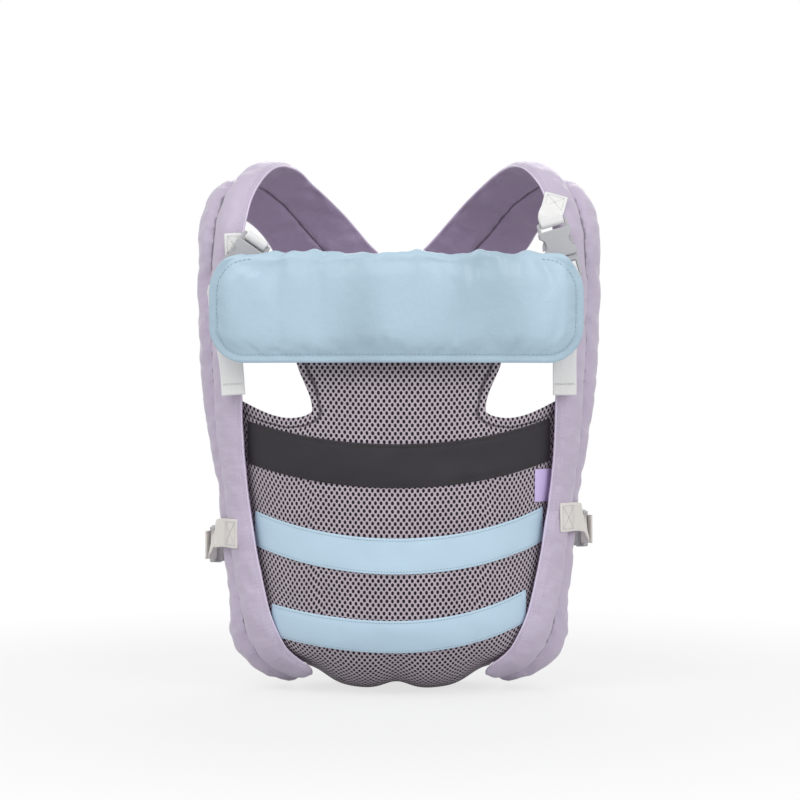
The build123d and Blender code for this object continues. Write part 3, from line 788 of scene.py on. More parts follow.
def panel_rows(triangles):
    """Rays that find the panel's face: for each row, a function of x, and the row's half width."""
    rows = []
    outer_top = window_edge(1.0)
    count = int((outer_top - CURL_Z) / PANEL_STEP)
    for index in range(count + 1):
        share = index / count
        level = outer_top + (CURL_Z - outer_top) * share
        pieces = cut(triangles, np.array([0, 0, min(level, 0.250)]), LEVEL_CUT)
        half = widest(pieces, lambda spots: spots[:, 1] < 0) - INSIDE_RIM

        def front(x, share=share):
            top = window_edge(x) if abs(x) > WINDOW_IN else NECK_Z
            return Vector((x, FRONT_Y, top + (CURL_Z - top) * share)), BACKWARD

        rows.append((half, front))
    for index in range(1, CURL_TURNS + 1):
        angle = math.pi / 2 * index / CURL_TURNS
        ahead = np.array([0, -math.cos(angle), -math.sin(angle)])
        square = np.array([0, math.sin(angle), -math.cos(angle)])
        axis = np.array([0, 0, CURL_Z])
        pieces = cut(triangles, axis + square * 1e-5, square)
        half = widest(pieces, lambda spots: (spots - axis) @ ahead > 0) - INSIDE_RIM

        def under(x, ahead=ahead):
            return Vector((x, 0, CURL_Z)) + Vector(ahead) * 0.3, -Vector(ahead)

        rows.append((half, under))
    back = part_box("seat_panel")[1].y - INSIDE_RIM
    count = int(back / PANEL_STEP)
    for index in range(1, count + 1):
        depth = back * index / count
        pieces = cut(triangles, np.array([0, depth, 0]), np.array([0, 1.0, 0]))
        half = widest(pieces, lambda spots: spots[:, 2] < CURL_Z) - INSIDE_RIM

        def below(x, depth=depth):
            return Vector((x, depth, -0.1)), Vector((0, 0, 1))

        rows.append((half, below))
    return rows


def along_lengths(sheet):
    """Cloth coordinates of a sheet of points: across from the middle column, along from the first row."""
    rows, columns = sheet.shape[:2]
    across = np.zeros((rows, columns))
    steps = np.linalg.norm(np.diff(sheet, axis=1), axis=2)
    middle = columns // 2
    for column in range(middle + 1, columns):
        across[:, column] = across[:, column - 1] + steps[:, column - 1]
    for column in range(middle - 1, -1, -1):
        across[:, column] = across[:, column + 1] - steps[:, column]
    down = np.linalg.norm(np.diff(sheet, axis=0), axis=2)
    along = np.vstack([np.zeros(columns), np.cumsum(down, 0)])
    return across, along


def solidified(piece, thickness):
    """Gives a sheet its thickness, inward from the face that was made."""
    modifier = piece.modifiers.new("thick", "SOLIDIFY")
    modifier.thickness = thickness
    modifier.offset = -1
    modifier.use_rim = True
    return applied(piece)


def soft_out(spots):
    """Moves front points by the shared drape, which fades out at the seat's edge."""
    out = []
    for spot in spots:
        way = outward_at(spot[0], spot[1])
        share = min(max((spot[2] - 0.02) / 0.04, 0), 1)
        out.append(np.array(spot) + np.array(way) * drape(spot[0], spot[2]) * share)
    return np.array(out)


def bottom_wave(spots, scale):
    """Lifts the seat's lowest edge between its lobes."""
    out = spots.copy()
    for middle, spread, rise in BOTTOM_LIFT:
        bell = np.exp(-((spots[:, 0] - middle) / spread) ** 2)
        low = np.clip((0.055 - spots[:, 2]) / 0.045, 0, 1)
        low = low * low * (3 - 2 * low)
        out[:, 2] += rise * bell * low * scale
    return out


class CARRIER_OT_panel(bpy.types.Operator):
    """Makes the spacer-mesh front panel with its narrow neck and curled seat"""

    bl_idname = "carrier.panel"
    bl_label = "Mesh panel"

    def execute(self, context):
        given = chosen("panel")
        triangles = triangles_of("seat_panel")
        tree = tree_of("seat_panel")
        rows = panel_rows(triangles)
        columns = 2 * int(WINDOW_OUT / PANEL_STEP) + 1
        shares = np.linspace(-1, 1, columns)
        body = np.array([[
            on_solid(tree, *ray(share * half)) for share in shares
        ] for half, ray in rows])
        body[1:] = smooth(body, 1.2)[1:]
        # the neck stands on the body's middle columns
        first_half = rows[0][0]
        inner = [k for k in range(columns) if abs(shares[k] * first_half) <= WINDOW_IN + 0.5 * MM]
        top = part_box("seat_panel")[1].z - 0.5 * MM
        levels = np.linspace(top, NECK_Z, int((top - NECK_Z) / PANEL_STEP))[:-1]
        neck = []
        for level in levels:
            pieces = cut(triangles, np.array([0, 0, level]), LEVEL_CUT)
            half = widest(pieces, self.in_neck) - INSIDE_RIM
            ratio = half / abs(body[0, inner[0], 0])
            neck.append([front_of(tree, body[0, k, 0] * ratio, level) for k in inner])
        neck = np.array(neck)
        whole = np.vstack([neck, body[:1, inner]])
        across_neck, along_neck = along_lengths(whole)
        across, along = along_lengths(body)
        start = np.interp(np.arange(columns), inner, along_neck[-1])
        spots = [*neck.reshape(-1, 3), *body.reshape(-1, 3)]
        lay = [(a, b, 0) for a, b in zip(across_neck[:-1].ravel(), along_neck[:-1].ravel())]
        lay += [(a, b, 0) for a, b in zip(across.ravel(), (along + start).ravel())]
        lay = np.array(lay)
        lay[:, 2] = self.hem_share(spots, given.hem)
        faces = grid_faces(len(levels), len(inner))
        base = len(levels) * len(inner)
        last = (len(levels) - 1) * len(inner)
        for index in range(len(inner) - 1):
            faces.append((last + index, last + index + 1, base + inner[index + 1], base + inner[index]))
        faces += grid_faces(len(rows), columns, base)
        faces = [face[::-1] for face in faces]
        spots = bottom_wave(soft_out(spots), given.wave / LAID_WAVE)
        material = air_mesh("spacer_mesh", given.thread, given.hole, given.pitch, given.row)
        panel = mesh_piece("mesh_panel", spots, faces, lay, material)
        solidified(panel, 2.4 * MM)
        facing_out(panel)
        subdivided(panel)
        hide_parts("seat_panel")
        hold(panel)
        return {"FINISHED"}

    def in_neck(self, spots):
        """Which points belong to the neck's front."""
        return (spots[:, 1] < 0) & (np.abs(spots[:, 0]) < NECK_OUT)

    def hem_share(self, spots, hem):
        """Two inside the turned hem of the arm openings, one on its stitch line, nought outside it."""
        edge = [np.array([x, z]) * MM for x, z in WINDOW_SIDE + WINDOW_LOW]
        out = []
        for spot in spots:
            here = np.array([abs(spot[0]), spot[2]])
            far = 1.0
            for one, two in zip(edge, edge[1:]):
                span = two - one
                share = min(max(np.dot(here - one, span) / np.dot(span, span), 0), 1)
                far = min(far, np.linalg.norm(one + span * share - here))
            front = spot[1] < 0
            out.append(min(max((hem + MM - far) / MM, 0), 2) if front else 0)
        return out


# ---- bands ----
BANDS = (("black_band", "black_cloth"), ("blue_band_upper", "blue_cloth"), ("blue_band_lower", "blue_cloth"))


def band_sheet(node, columns, rows):
    """Front face of a sewn band, as rows of points from its lower edge to its upper one."""
    tree = tree_of(node)
    triangles = triangles_of(node)
    low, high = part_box(node)
    sheet = []
    for x in np.linspace(low.x + INSIDE_RIM, high.x - INSIDE_RIM, columns):
        pieces = cut(triangles, np.array([x, 0, 0]), np.array([1.0, 0, 0])).reshape(-1, 3)
        floor, roof = pieces[:, 2].min(), pieces[:, 2].max()
        levels = np.linspace(floor + 0.05 * MM, roof - 0.05 * MM, rows)
        sheet.append([front_of(tree, x, z) for z in levels])
    return np.array(sheet).transpose(1, 0, 2)


class CARRIER_OT_bands(bpy.types.Operator):
    """Makes the three bands sewn across the panel, their stitching and the blank tab"""

    bl_idname = "carrier.bands"
    bl_label = "Sewn bands"

    def execute(self, context):
        given = chosen("band")
        looks = {
            "black_band": band_cloth("black_tape", given.black, 1.5 * MM, 0.1, 0.55),
            "blue": satin_cloth("blue_tape", given.blue, 0.3, 0.42, 0.04, 0.3),
        }
        threads = {
            "black_band": sewing_thread("black_thread", darker(given.black, 0.35)),
            "blue": sewing_thread("blue_thread", darker(given.blue, 0.6)),
        }
        for node, slot in BANDS:
            key = node if node in looks else "blue"
            sheet = self.edged(band_sheet(node, 111, 15))
            rows, columns = sheet.shape[:2]
            across, along = along_lengths(sheet)
            spots = soft_out(sheet.reshape(-1, 3))
            faces = grid_faces(rows, columns)
            lay = np.stack([along.ravel(), across.ravel(), np.zeros(rows * columns)], 1)
            band = mesh_piece(f"{node}_cloth", spots, faces, lay, looks[key])
            solidified(band, 1.1 * MM)
            facing_out(band)
            subdivided(band)
            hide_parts(node)
            hold(band)
            lines = []
            moved = spots.reshape(rows, columns, 3)
            for name, row in (("low", 1), ("high", rows - 2)):
                line = moved[row, 2:-2]
                ways = [outward_at(s[0], s[1]) for s in line]
                lines.append(stitches(f"{node}_{name}", line, ways, threads[key], 2.6 * MM, 0.7, 0.5 * MM))
            hold(joined(f"{node}_stitches", lines))
        self.tab(given)
        return {"FINISHED"}

    def edged(self, sheet):
        """Rounds a band's long edges and gathers them very slightly at the stitching."""
        rows, columns = sheet.shape[:2]
        out = sheet.copy()
        seed = sheet[0, 0, 2] * 100
        for column in range(columns):
            width = np.linalg.norm(sheet[-1, column] - sheet[0, column])
            for row in range(rows):
                run = min(row, rows - 1 - row) / (rows - 1) * width
                way = np.array(outward_at(*sheet[row, column, :2]))
                ripple = noise.noise(Vector((sheet[row, column, 0] * 90, row // (rows // 2 + 1), seed)))
                near = math.exp(-(run / (4 * MM)) ** 2)
                sewn = math.exp(-((run - 2.6 * MM) / (1.5 * MM)) ** 2)
                out[row, column] += way * (0.45 * MM * ripple * near - 0.45 * MM * sewn)
        return out

    def tab(self, given):
        """The blank satin tab caught in the strap's seam."""
        tree = tree_of("side_tab")
        low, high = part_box("side_tab")
        rows, columns = 15, 11
        sheet = []
        for z in np.linspace(low.z + 0.1 * MM, high.z - 0.1 * MM, rows):
            places = np.linspace(low.x + 0.1 * MM, high.x - INSIDE_RIM, columns)
            sheet.append([front_of(tree, x, z) for x in places])
        sheet = np.array(sheet)
        across, along = along_lengths(sheet)
        lay = np.stack([across.ravel(), along.ravel(), np.zeros(rows * columns)], 1)
        satin = satin_cloth("tab_satin", given.tab, 0.4, 0.3, 0.03, 0.2)
        spots = soft_out(sheet.reshape(-1, 3))
        tab = mesh_piece("tab_satin", spots, grid_faces(rows, columns), lay, satin)
        solidified(tab, 0.7 * MM)
        facing_out(tab)
        subdivided(tab)
        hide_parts("side_tab")
        hold(tab)


# ---- padded straps ----
STRAP_STEP = 4.2 * MM
STRAP_NEAR = 50 * MM  # cut pieces further off than this belong to another part of the strap
HALF_LAY = 35 * MM  # half the width of a strap's flat cloth
# a strap's columns of points, as shares of its half width
ACROSS = (-1, -0.965, -0.90, -0.835, -0.76, -0.64, -0.5, -0.36, -0.24, -0.14, -0.065)
ACROSS = (*ACROSS, 0, *(-share for share in reversed(ACROSS)))
EDGE_SEAM = 3  # column of the stitched edge seam, from either side
MIDDLE = len(ACROSS) // 2


def follow(triangles, start, ahead):
    """Sections of a strap from a point on it, one step after another, until it ends."""
    found = []
    centre = start
    width = 0
    for _ in range(300):
        guess = centre + ahead * STRAP_STEP
        pieces = cut(triangles, guess, ahead)
        if len(pieces):
            pieces = pieces[np.linalg.norm(pieces.mean(1) - guess, axis=1) < STRAP_NEAR]
        if len(pieces) < 8:
            break
        weight = np.linalg.norm(pieces[:, 0] - pieces[:, 1], axis=1)
        middle = (pieces.mean(1) * weight[:, None]).sum(0) / weight.sum()
        spread = pieces.mean(1) - middle
        ways = np.linalg.eigh((spread * weight[:, None]).T @ spread)[1]
        across = unit(ways[:, 2] - ahead * (ways[:, 2] @ ahead))
        reach = pieces.reshape(-1, 3) @ across
        if reach.max() - reach.min() < 0.75 * width:
            break
        width = reach.max() - reach.min()
        found.append((middle, ahead, across, pieces))
        ahead = unit(0.65 * ahead + 0.35 * unit(middle - centre))
        centre = middle
    return found


def envelope(pieces, centre, across, normal, shares):
    """Outer and inner face of a section at shares of its width, with its two ends."""
    u = (pieces - centre) @ across
    v = (pieces - centre) @ normal
    low, high = u.min(), u.max()
    outer, inner = [], []
    for share in shares:
        at = (low + high) / 2 + share * (high - low) / 2 * 0.985
        crossed = (u.min(1) <= at) & (u.max(1) >= at)
        one, two = u[crossed], v[crossed]
        span = one[:, 1] - one[:, 0]
        part = np.where(span == 0, 0, (at - one[:, 0]) / np.where(span == 0, 1, span))
        heights = two[:, 0] + (two[:, 1] - two[:, 0]) * part
        outer.append(heights.max())
        inner.append(heights.min())
    return low, high, outer, inner


class Strap:
    """Shape of one padded strap, read from its frame solid."""

    def __init__(self, side, side_name):
        node = f"strap_cover_{side_name}"
        triangles = triangles_of(node)
        mounts = {mount["name"]: mount for mount in frame["record"]["mounts"]}
        rest = np.array(mounts[f"shoulder_rest_{side_name}"]["pos_m"], float)
        ahead = unit(np.array([-0.25 * side, 0.95, -0.1]))
        near = cut(triangles, rest, ahead)
        near = near[np.linalg.norm(near.mean(1) - rest, axis=1) < STRAP_NEAR]
        start = near.mean((0, 1))
        rear = follow(triangles, start, ahead)
        fore = follow(triangles, start, -ahead)
        fore = [(spot, -way, across, pieces) for spot, way, across, pieces in fore[::-1]]
        sections = fore + rear
        top = len(fore)
        centres, acrosses, normals, faces = [], [], [], []
        order = list(range(top, len(sections))) + list(range(top - 1, -1, -1))
        turned = {}
        for index in order:
            _, way, across, _ = sections[index]
            normal = unit(np.cross(way, across))
            if index == top:
                facing = np.array([0.3 * side, 0, 1.0])
            else:
                facing = turned[index - 1 if index > top else index + 1][1]
            if normal @ facing < 0:
                normal = -normal
            # on both straps, across points to the inner edge, the one nearer to the neck
            across = unit(np.cross(normal, way)) * side
            turned[index] = (across, normal)
        for index, (spot, _, _, pieces) in enumerate(sections):
            across, normal = turned[index]
            low, high, outer, inner = envelope(pieces, spot, across, normal, ACROSS)
            centres.append(spot + across * (low + high) / 2)
            acrosses.append(across * (high - low) / 2)
            normals.append(normal)
            faces.append([outer, inner])
        self.centres = smooth(centres, 1.6)
        self.across = smooth(acrosses, 1.6)
        self.normal = np.array([unit(n) for n in smooth(normals, 1.6)])
        faces = smooth(faces, 1.4)
        self.outer = faces[:, 0]
        self.inner = faces[:, 1]
        steps = np.linalg.norm(np.diff(self.centres, axis=0), axis=1)
        self.run = np.concatenate([[0], np.cumsum(steps)])
        self.rows = len(self.centres)
        self.side = side

    def spot(self, row, share, height):
        """A point at a share of the half width and a height over the middle."""
        return self.centres[row] + self.across[row] * share + self.normal[row] * height


def seam_pull(share, seam, reach):
    """One at a sewn seam, fading within its reach."""
    return math.exp(-((share - seam) / reach) ** 2)


class CARRIER_OT_straps(bpy.types.Operator):
    """Makes the two padded shoulder straps with their sewn channels, stitching and wadding"""

    bl_idname = "carrier.straps"
    bl_label = "Padded straps"

    def execute(self, context):
        given = chosen("strap")
        # both faces have painted shade along the groove of their centre seam
        outer = satin_cloth(
            "lavender_nylon", given.outer, 0.3, 0.42, 0.06, 0.55, 0.5, seam=0.82, seam_shade_wide=3.9 * MM
        )
        # the lining's darker colour is painted shade on the strap's inner face
        lining = satin_cloth(
            "shaded_lavender_lining", given.lining, 0.25, 0.55, 0.06, 0.5, 0.4, seam=0.6, seam_shade_wide=2.4 * MM
        )
        thread = sewing_thread("lavender_thread", darker(given.outer, 0.36))
        rim_thread = sewing_thread("rim_thread", lighter(given.outer, 1.5))
        # the piping is a real rolled rim; its colour, lighter than the strap's, is painted highlight along the rim
        piping_highlight = satin_cloth("lavender_piping_highlight", lighter(given.outer, 1.35), 0.4, 0.4)
        inner_thread = sewing_thread("lining_thread", darker(given.lining, 0.3))
        foam = foam_wadding("strap_foam", given.wadding)
        for side, side_name in SIDES:
            strap = Strap(side, side_name)
            self.cover(strap, side_name, given, (outer, lining, piping_highlight), (thread, rim_thread, inner_thread))
            self.wadding(strap, side_name, foam)
        return {"FINISHED"}

    def cover(self, strap, side_name, given, cloths, threads):
        """The cover: two faces drawn in at their seams and blown up between them, then sewn."""
        outer, lining, piping_highlight = cloths
        columns = len(ACROSS)
        sewn = (0, 1, EDGE_SEAM, MIDDLE, columns - 1 - EDGE_SEAM, columns - 2, columns - 1)
        rng = random.Random(11 + strap.side)
        shift = rng.uniform(0, 50)
        spots, lay = [], []
        held = {}
        for face in (0, 1):
            heights = strap.inner if face else strap.outer
            other = strap.outer if face else strap.inner
            sign = -1 if face else 1
            for row in range(strap.rows):
                run = strap.run[row]
                for column, share in enumerate(ACROSS):
                    mid = (heights[row, column] + other[row, column]) / 2
                    height = mid + (heights[row, column] - mid) * 0.9
                    near = max(seam_pull(share, 0, 0.11), seam_pull(abs(share), 0.835, 0.10))
                    ripple = noise.noise(Vector((run / given.gather, share * 1.7 + 5 * face, shift)))
                    height += sign * given.pucker * (1.5 * ripple * near - 2.4 * seam_pull(share, 0, 0.06))
                    wave = noise.noise(Vector((run / given.gather * 0.8, math.copysign(9, share), shift)))
                    # the rims wave a little, and the rest of the width stays
                    reach = share * (1 + wave * given.pucker * 1.7 / HALF_LAY * (abs(share) > 0.8))
                    spots.append(strap.spot(row, reach, height))
                    lay.append((share * HALF_LAY, run, 0))
                    if column in sewn or row < 2 or row > strap.rows - 3:
                        held[len(spots) - 1] = 1.0
        piece = mesh_piece(f"strap_{side_name}", spots, pillow_faces(strap.rows, columns), lay, outer)
        piece.data.materials.append(lining)
        count = (strap.rows - 1) * (columns - 1)
        picks = [0] * count + [1] * count + [0] * (len(piece.data.polygons) - 2 * count)
        piece.data.polygons.foreach_set("material_index", picks)
        facing_out(piece)
        inflate(piece, held, pressure=3.0, frames=18, stiff=8, bend=0.1)
        grid = np.array([v.co for v in piece.data.vertices]).reshape(2, strap.rows, columns, 3)
        subdivided(piece)
        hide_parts(f"strap_cover_{side_name}")
        hold(piece)
        self.trim(strap, side_name, grid, piping_highlight, threads)

    def trim(self, strap, side_name, grid, piping_highlight, threads):
        """Both faces quilted at the centre seam, and rims topstitched outside and given piping, whose lighter
        colour is painted highlight.
        """
        thread, rim_thread, inner_thread = threads
        last = len(ACROSS) - 1
        rows = slice(3, strap.rows - 3)
        normal = strap.normal[rows]
        lines = [stitches(
            f"{side_name}_seam", grid[0, rows, MIDDLE], normal, thread,
            share=0.86, thick=0.95 * MM, lift=0.4 * MM,
        )]
        for name, column in (("inside", last - 1), ("outside", 1)):
            lines.append(stitches(
                f"{side_name}_{name}", grid[0, rows, column], normal, rim_thread, share=0.6, lift=0.2 * MM
            ))
        lines.append(stitches(
            f"{side_name}_in_seam", grid[1, rows, MIDDLE], -normal, inner_thread,
            share=0.86, thick=1.1 * MM, lift=0.15 * MM,
        ))
        hold(joined(f"strap_stitches_{side_name}", lines))
        rims = []
        for column in (0, last):
            line = smooth((grid[0, rows, column] + grid[1, rows, column]) / 2, 1.5)
            rims.append(piping(f"{side_name}_rim_{column}", line, 0.8 * MM, piping_highlight))
        hold(joined(f"strap_piping_{side_name}", rims))

    def wadding(self, strap, side_name, foam):
        """Two rolls of wadding, one in each channel, joined at the seam."""
        picks = range(EDGE_SEAM + 1, len(ACROSS) - EDGE_SEAM - 1)
        rows = range(6, strap.rows - 4)
        spots, lay = [], []
        for face in (0, 1):
            for row in rows:
                for column in picks:
                    share = ACROSS[column]
                    mid = (strap.outer[row, column] + strap.inner[row, column]) / 2
                    full = min(1, (0.80 - abs(share)) / 0.15) * (1 - 0.94 * seam_pull(share, 0, 0.16))
                    height = mid + ((strap.inner if face else strap.outer)[row, column] - mid) * 0.36 * full
                    spots.append(strap.spot(row, share, height))
                    lay.append((share * HALF_LAY, strap.run[row], 0))
        piece = mesh_piece(f"wadding_{side_name}", spots, pillow_faces(len(rows), len(picks)), lay, foam)
        facing_out(piece)
        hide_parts(f"strap_padding_{side_name}")
        hold(piece)


# ---- head panel and folded flap ----
RIM = (0, 1.2, 3.0, 6.0, 9.5, 13.5, 18.0)  # rows near a pad's rim, in mm from it
RIM_HALF = 1.5 * MM  # half thickness of the rolled rim
FLAP_ASIDE = 2.0 * MM  # the flap lies this far to the left
FOLD_SEWN_X = 118 * MM  # the gathered fold has no stitch line nearer to the middle than this


def rim_to_rim(low, high, step):
    """Positions from low to high, close together at both rims."""
    rim = np.array(RIM) * MM
    count = max(int((high - low - 2 * rim[-1]) / step), 2)
    between = np.linspace(low + rim[-1], high - rim[-1], count + 1)[1:-1]
    return np.concatenate([low + rim, between, (high - rim)[::-1]])


def outline_distance(spots, outline):
    """Distance of flat points from a closed outline."""
    best = np.full(len(spots), 1.0)
    for one, two in zip(outline, np.roll(outline, -1, 0)):
        span = two - one
        size = max(span @ span, 1e-12)
        share = np.clip(((spots - one) @ span) / size, 0, 1)
        far = np.linalg.norm(spots - one - share[:, None] * span, axis=1)
        best = np.minimum(best, far)
    return best


class Pad:
    """Flat shape and middle surface of an upright pad, read from its frame solid."""

    def __init__(self, node, step):
        low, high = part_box(node)
        triangles = triangles_of(node)
        tree = tree_of(node)
        self.levels = rim_to_rim(low.z + 0.15 * MM, high.z - 0.15 * MM, step)
        self.halves = []
        for level in self.levels:
            pieces = cut(triangles, np.array([0, 0, level]), LEVEL_CUT)
            self.halves.append(float(np.abs(pieces[:, :, 0]).max()) - 0.1 * MM)
        widest_half = max(self.halves)
        shares = rim_to_rim(-widest_half, widest_half, step) / widest_half
        self.rows, self.columns = len(self.levels), len(shares)
        flat, middle, thick = [], [], []
        for level, half in zip(self.levels, self.halves):
            for share in shares:
                x = share * half
                front = front_of(tree, x, level)
                back = back_of(tree, x, level)
                flat.append((x, level))
                middle.append((front.y + back.y) / 2)
                thick.append(abs(front.y - back.y))
        self.flat = np.array(flat)
        # the middle surface is an even curve, so its middle row's reading serves every row
        central = np.array(middle).reshape(self.rows, self.columns)[self.rows // 2]
        at = self.flat.reshape(self.rows, self.columns, 2)[self.rows // 2, :, 0]
        self.middle = np.interp(self.flat[:, 0], at, central)
        self.curve = (at, central)
        self.thick = float(np.median(thick))
        right = list(zip(self.halves, self.levels))
        left = [(-half, level) for half, level in right][::-1]
        self.outline = np.array(right + left)
        self.edge = outline_distance(self.flat, self.outline)


def bulged(x, z, pad):
    """Across place of a flap point: the soft ends bulge and the whole lies a little aside."""
    middle, reach = (pad.levels[0] + pad.levels[-1]) / 2, (pad.levels[-1] - pad.levels[0]) / 2
    return x * (1.004 + 0.018 * (1 - ((z - middle) / reach) ** 2)) - FLAP_ASIDE


def sewn_profile(edge, thick, stitch_in, crown):
    """Half thickness of a pad at a distance from its edge: rolled rim, stitch line, padded middle."""
    rim = RIM_HALF * math.sqrt(min(edge / (2 * MM), 1))
    dip = 0.55 * MM * math.exp(-((edge - stitch_in) / (1.6 * MM)) ** 2)
    rise = min(max((edge - stitch_in) / crown, 0), 1)
    return rim - dip + (thick / 2 - RIM_HALF) * math.sin(math.pi / 2 * rise) ** 0.9


def near_fold(down, reach):
    """One at the fold, fading within a reach below it."""
    return math.exp(-(down / reach) ** 2)


def inset_line(outline, inset):
    """An outline moved inward, as evenly spaced points."""
    centre = outline.mean(0)
    dense = []
    for one, two in zip(outline, np.roll(outline, -1, 0)):
        count = max(int(np.linalg.norm(two - one) / (2 * MM)), 1)
        dense += [one + (two - one) * k / count for k in range(count)]
    dense = np.array(dense)
    ahead = np.roll(dense, -3, 0) - np.roll(dense, 3, 0)
    square = np.stack([-ahead[:, 1], ahead[:, 0]], 1)
    square /= np.linalg.norm(square, axis=1)[:, None]
    inward = np.where(((centre - dense) * square).sum(1) > 0, 1, -1)
    return dense + square * inward[:, None] * inset


class CARRIER_OT_head(bpy.types.Operator):
    """Makes the head panel, the padded flap folded down over it, its wadding and the fold's elastic"""

    bl_idname = "carrier.head"
    bl_label = "Head flap"

    def execute(self, context):
        given = chosen("flap")
        # the flap's satin has painted satin sheen: upright lighter and darker bands in its colour
        cloth = satin_cloth("flap_satin", given.cloth, 0.35, 0.31, 0.085, 0.5, drape=True)
        thread = sewing_thread("flap_thread", darker(given.cloth, 0.88))
        flap = Pad("head_flap_cover", 4.0 * MM)
        self.pad(flap, "head_flap", cloth, given, folded=True)
        self.seams(flap, "head_flap", thread, given, "head_flap")
        panel = Pad("head_panel", 6.0 * MM)
        self.pad(panel, "head_panel", cloth, given, folded=False)
        self.seams(panel, "head_panel", thread, given, "carrier")
        self.wadding(flap)
        elastic = NODES["fold_elastic"]
        elastic.data.materials.clear()
        elastic.data.materials.append(sewing_thread("white_elastic", (0.72, 0.74, 0.76)))
        return {"FINISHED"}

    def pad(self, pad, name, cloth, given, folded):
        """A closed pad: rim, stitch line and crowned middle, gathered along the fold."""
        spots, lay = [], []
        held = {}
        top = pad.levels[-1]
        crown = 17 * MM if folded else 8 * MM
        thick = pad.thick * (0.94 if folded else 1.0)
        for face in (0, 1):
            sign = 1 if face else -1
            for (x, z), middle, edge in zip(pad.flat, pad.middle, pad.edge):
                half = sewn_profile(edge, thick, given.stitch_in, crown)
                height = z
                down = top - z
                if folded:
                    # the fold is round, and gathered between its ends
                    round_fold = thick / 2 * math.sqrt(min(max(down / (7 * MM), 0.02), 1))
                    sides = min(1, max(0, (pad.halves[len(pad.halves) // 2] - abs(x)) / (14 * MM)))
                    half = half + (max(round_fold, half) - half) * near_fold(down, 13 * MM) * sides
                    crease = 1.5 * noise.noise(Vector((x / (19 * MM), face * 3.0, 1.7)))
                    crease += 0.7 * noise.noise(Vector((x / (8 * MM), 5.0, 4.2)))
                    half += given.gather * 0.55 * crease * near_fold(down, 26 * MM) * sides
                    height += given.gather * 1.4 * crease * near_fold(down, 9 * MM) * sides
                    height -= given.gather * 0.6 * near_fold(down, 8 * MM)
                    # the padded middle swells unevenly, and sinks only a little, clear of the wadding
                    swell = max(noise.noise(Vector((x / (34 * MM), z / (95 * MM), 2.4 + face))), -0.25)
                    inside = min(max((edge - given.stitch_in) / (14 * MM), 0), 1)
                    half += (2.6 if face else 4.0) * MM * swell * inside
                    x = bulged(x, z, pad)
                ripple = noise.noise(Vector((x / (9 * MM), z / (9 * MM), 7.0 + face)))
                half += 0.35 * MM * ripple * math.exp(-((edge - given.stitch_in) / (5 * MM)) ** 2)
                way = outward_at(x, middle)
                reach = Vector((x, middle, height)) - way * (sign * half)
                spots.append(tuple(reach))
                lay.append((x, z, 0))
                sewn = edge < given.stitch_in + 1.2 * MM and not (folded and down < 10 * MM and edge > 1 * MM)
                if sewn or (folded and face):
                    held[len(spots) - 1] = 1.0
        made = mesh_piece(f"{name}_pad", spots, pillow_faces(pad.rows, pad.columns), lay, cloth)
        facing_out(made)
        if folded:
            inflate(made, held, pressure=2.2, frames=20, stiff=7, bend=0.06)
        subdivided(made)
        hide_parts("head_flap_cover" if folded else "head_panel")
        hold(made, "head_flap" if folded else "carrier")

    def seams(self, pad, name, thread, given, body):
        """Topstitching inside the pad's edge, on both faces, leaving the flap's fold free."""
        tree = ray_tree(bpy.data.objects[f"{name}_pad"].data)
        line = inset_line(pad.outline, given.stitch_in)
        if body == "head_flap":
            # the line starts and ends where the gathered fold does
            sewn = (line[:, 1] < pad.levels[-1] - 14 * MM) | (np.abs(line[:, 0]) > FOLD_SEWN_X)
            first = int(np.flatnonzero(sewn & ~np.roll(sewn, 1))[0])
            line = np.roll(line, -first, 0)[np.roll(sewn, -first)]
            line[:, 0] = [bulged(x, z, pad) for x, z in line]
        else:
            line = np.vstack([line, line[:1]])
        line = smooth(line, 1.5)
        lines = []
        for label, start, ahead in (("front", FRONT_Y, BACKWARD), ("back", BEHIND_Y, FORWARD)):
            spots, ways = [], []
            for x, z in line:
                spot, normal = tree.ray_cast(Vector((x, start, z)), ahead)[:2]
                if spot is not None:
                    spots.append(spot)
                    ways.append(normal if normal.dot(ahead) < 0 else -normal)
            lines.append(stitches(
                f"{name}_{label}", smooth(spots, 1.5), smooth(ways, 2), thread, 3.8 * MM,
                share=0.66, lift=0.3 * MM,
            ))
        hold(joined(f"{name}_stitches", lines), body)

    def wadding(self, pad):
        """The flap's wadding, inside its stitching, of the same foam as the straps'."""
        foam = bpy.data.materials.get("strap_foam") or foam_wadding("strap_foam", chosen("strap").wadding)
        centre = np.array([0, (pad.levels[0] + pad.levels[-1]) / 2])
        smaller = np.array([0.92, 0.78])
        spots, lay = [], []
        for sign in (-1, 1):
            for (x, z), edge in zip(pad.flat, pad.edge):
                share = min(max((edge - 9 * MM) / (12 * MM), 0), 1)
                half = 0.4 * MM + (pad.thick / 2 - 3.2 * MM) * math.sin(math.pi / 2 * share)
                flat = centre + (np.array([x, z]) - centre) * smaller
                y = float(np.interp(flat[0], *pad.curve))
                spots.append((flat[0], y + sign * half, flat[1]))
                lay.append((x, z, 0))
        made = mesh_piece("flap_wadding", spots, pillow_faces(pad.rows, pad.columns), lay, foam)
        facing_out(made)
        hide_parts("head_flap_foam")
        hold(made, "head_flap")


# ---- webbing ----
# the buckles' own measures, in millimetres along their frame
TURN_R = 2.9  # webbing's middle radius round a bar
BAR_NEAR = -0.4  # the housing's bar
BAR_FAR = 38.9  # the inner half's bar
ROOT_AT = 27.5  # the prongs' roots
STEMS = [f"{spot}_{side_name}" for spot in ("upper", "hip") for _, side_name in SIDES]
# the two kinds of webbing
WIDTHS = {"upper": 20 * MM, "hip": 25 * MM}
HEM_FOLD = 12 * MM  # how much of a tail is folded back
HEM_ROW = 9 * MM  # from a tail's end to its first row of hem stitches
HEM_ROWS_APART = 0.9 * MM

Laid = namedtuple("Laid", "piece route across normal run")


def millimetres(*spots):
    """Points given in millimetres, as metres."""
    return [np.array(spot) * MM for spot in spots]


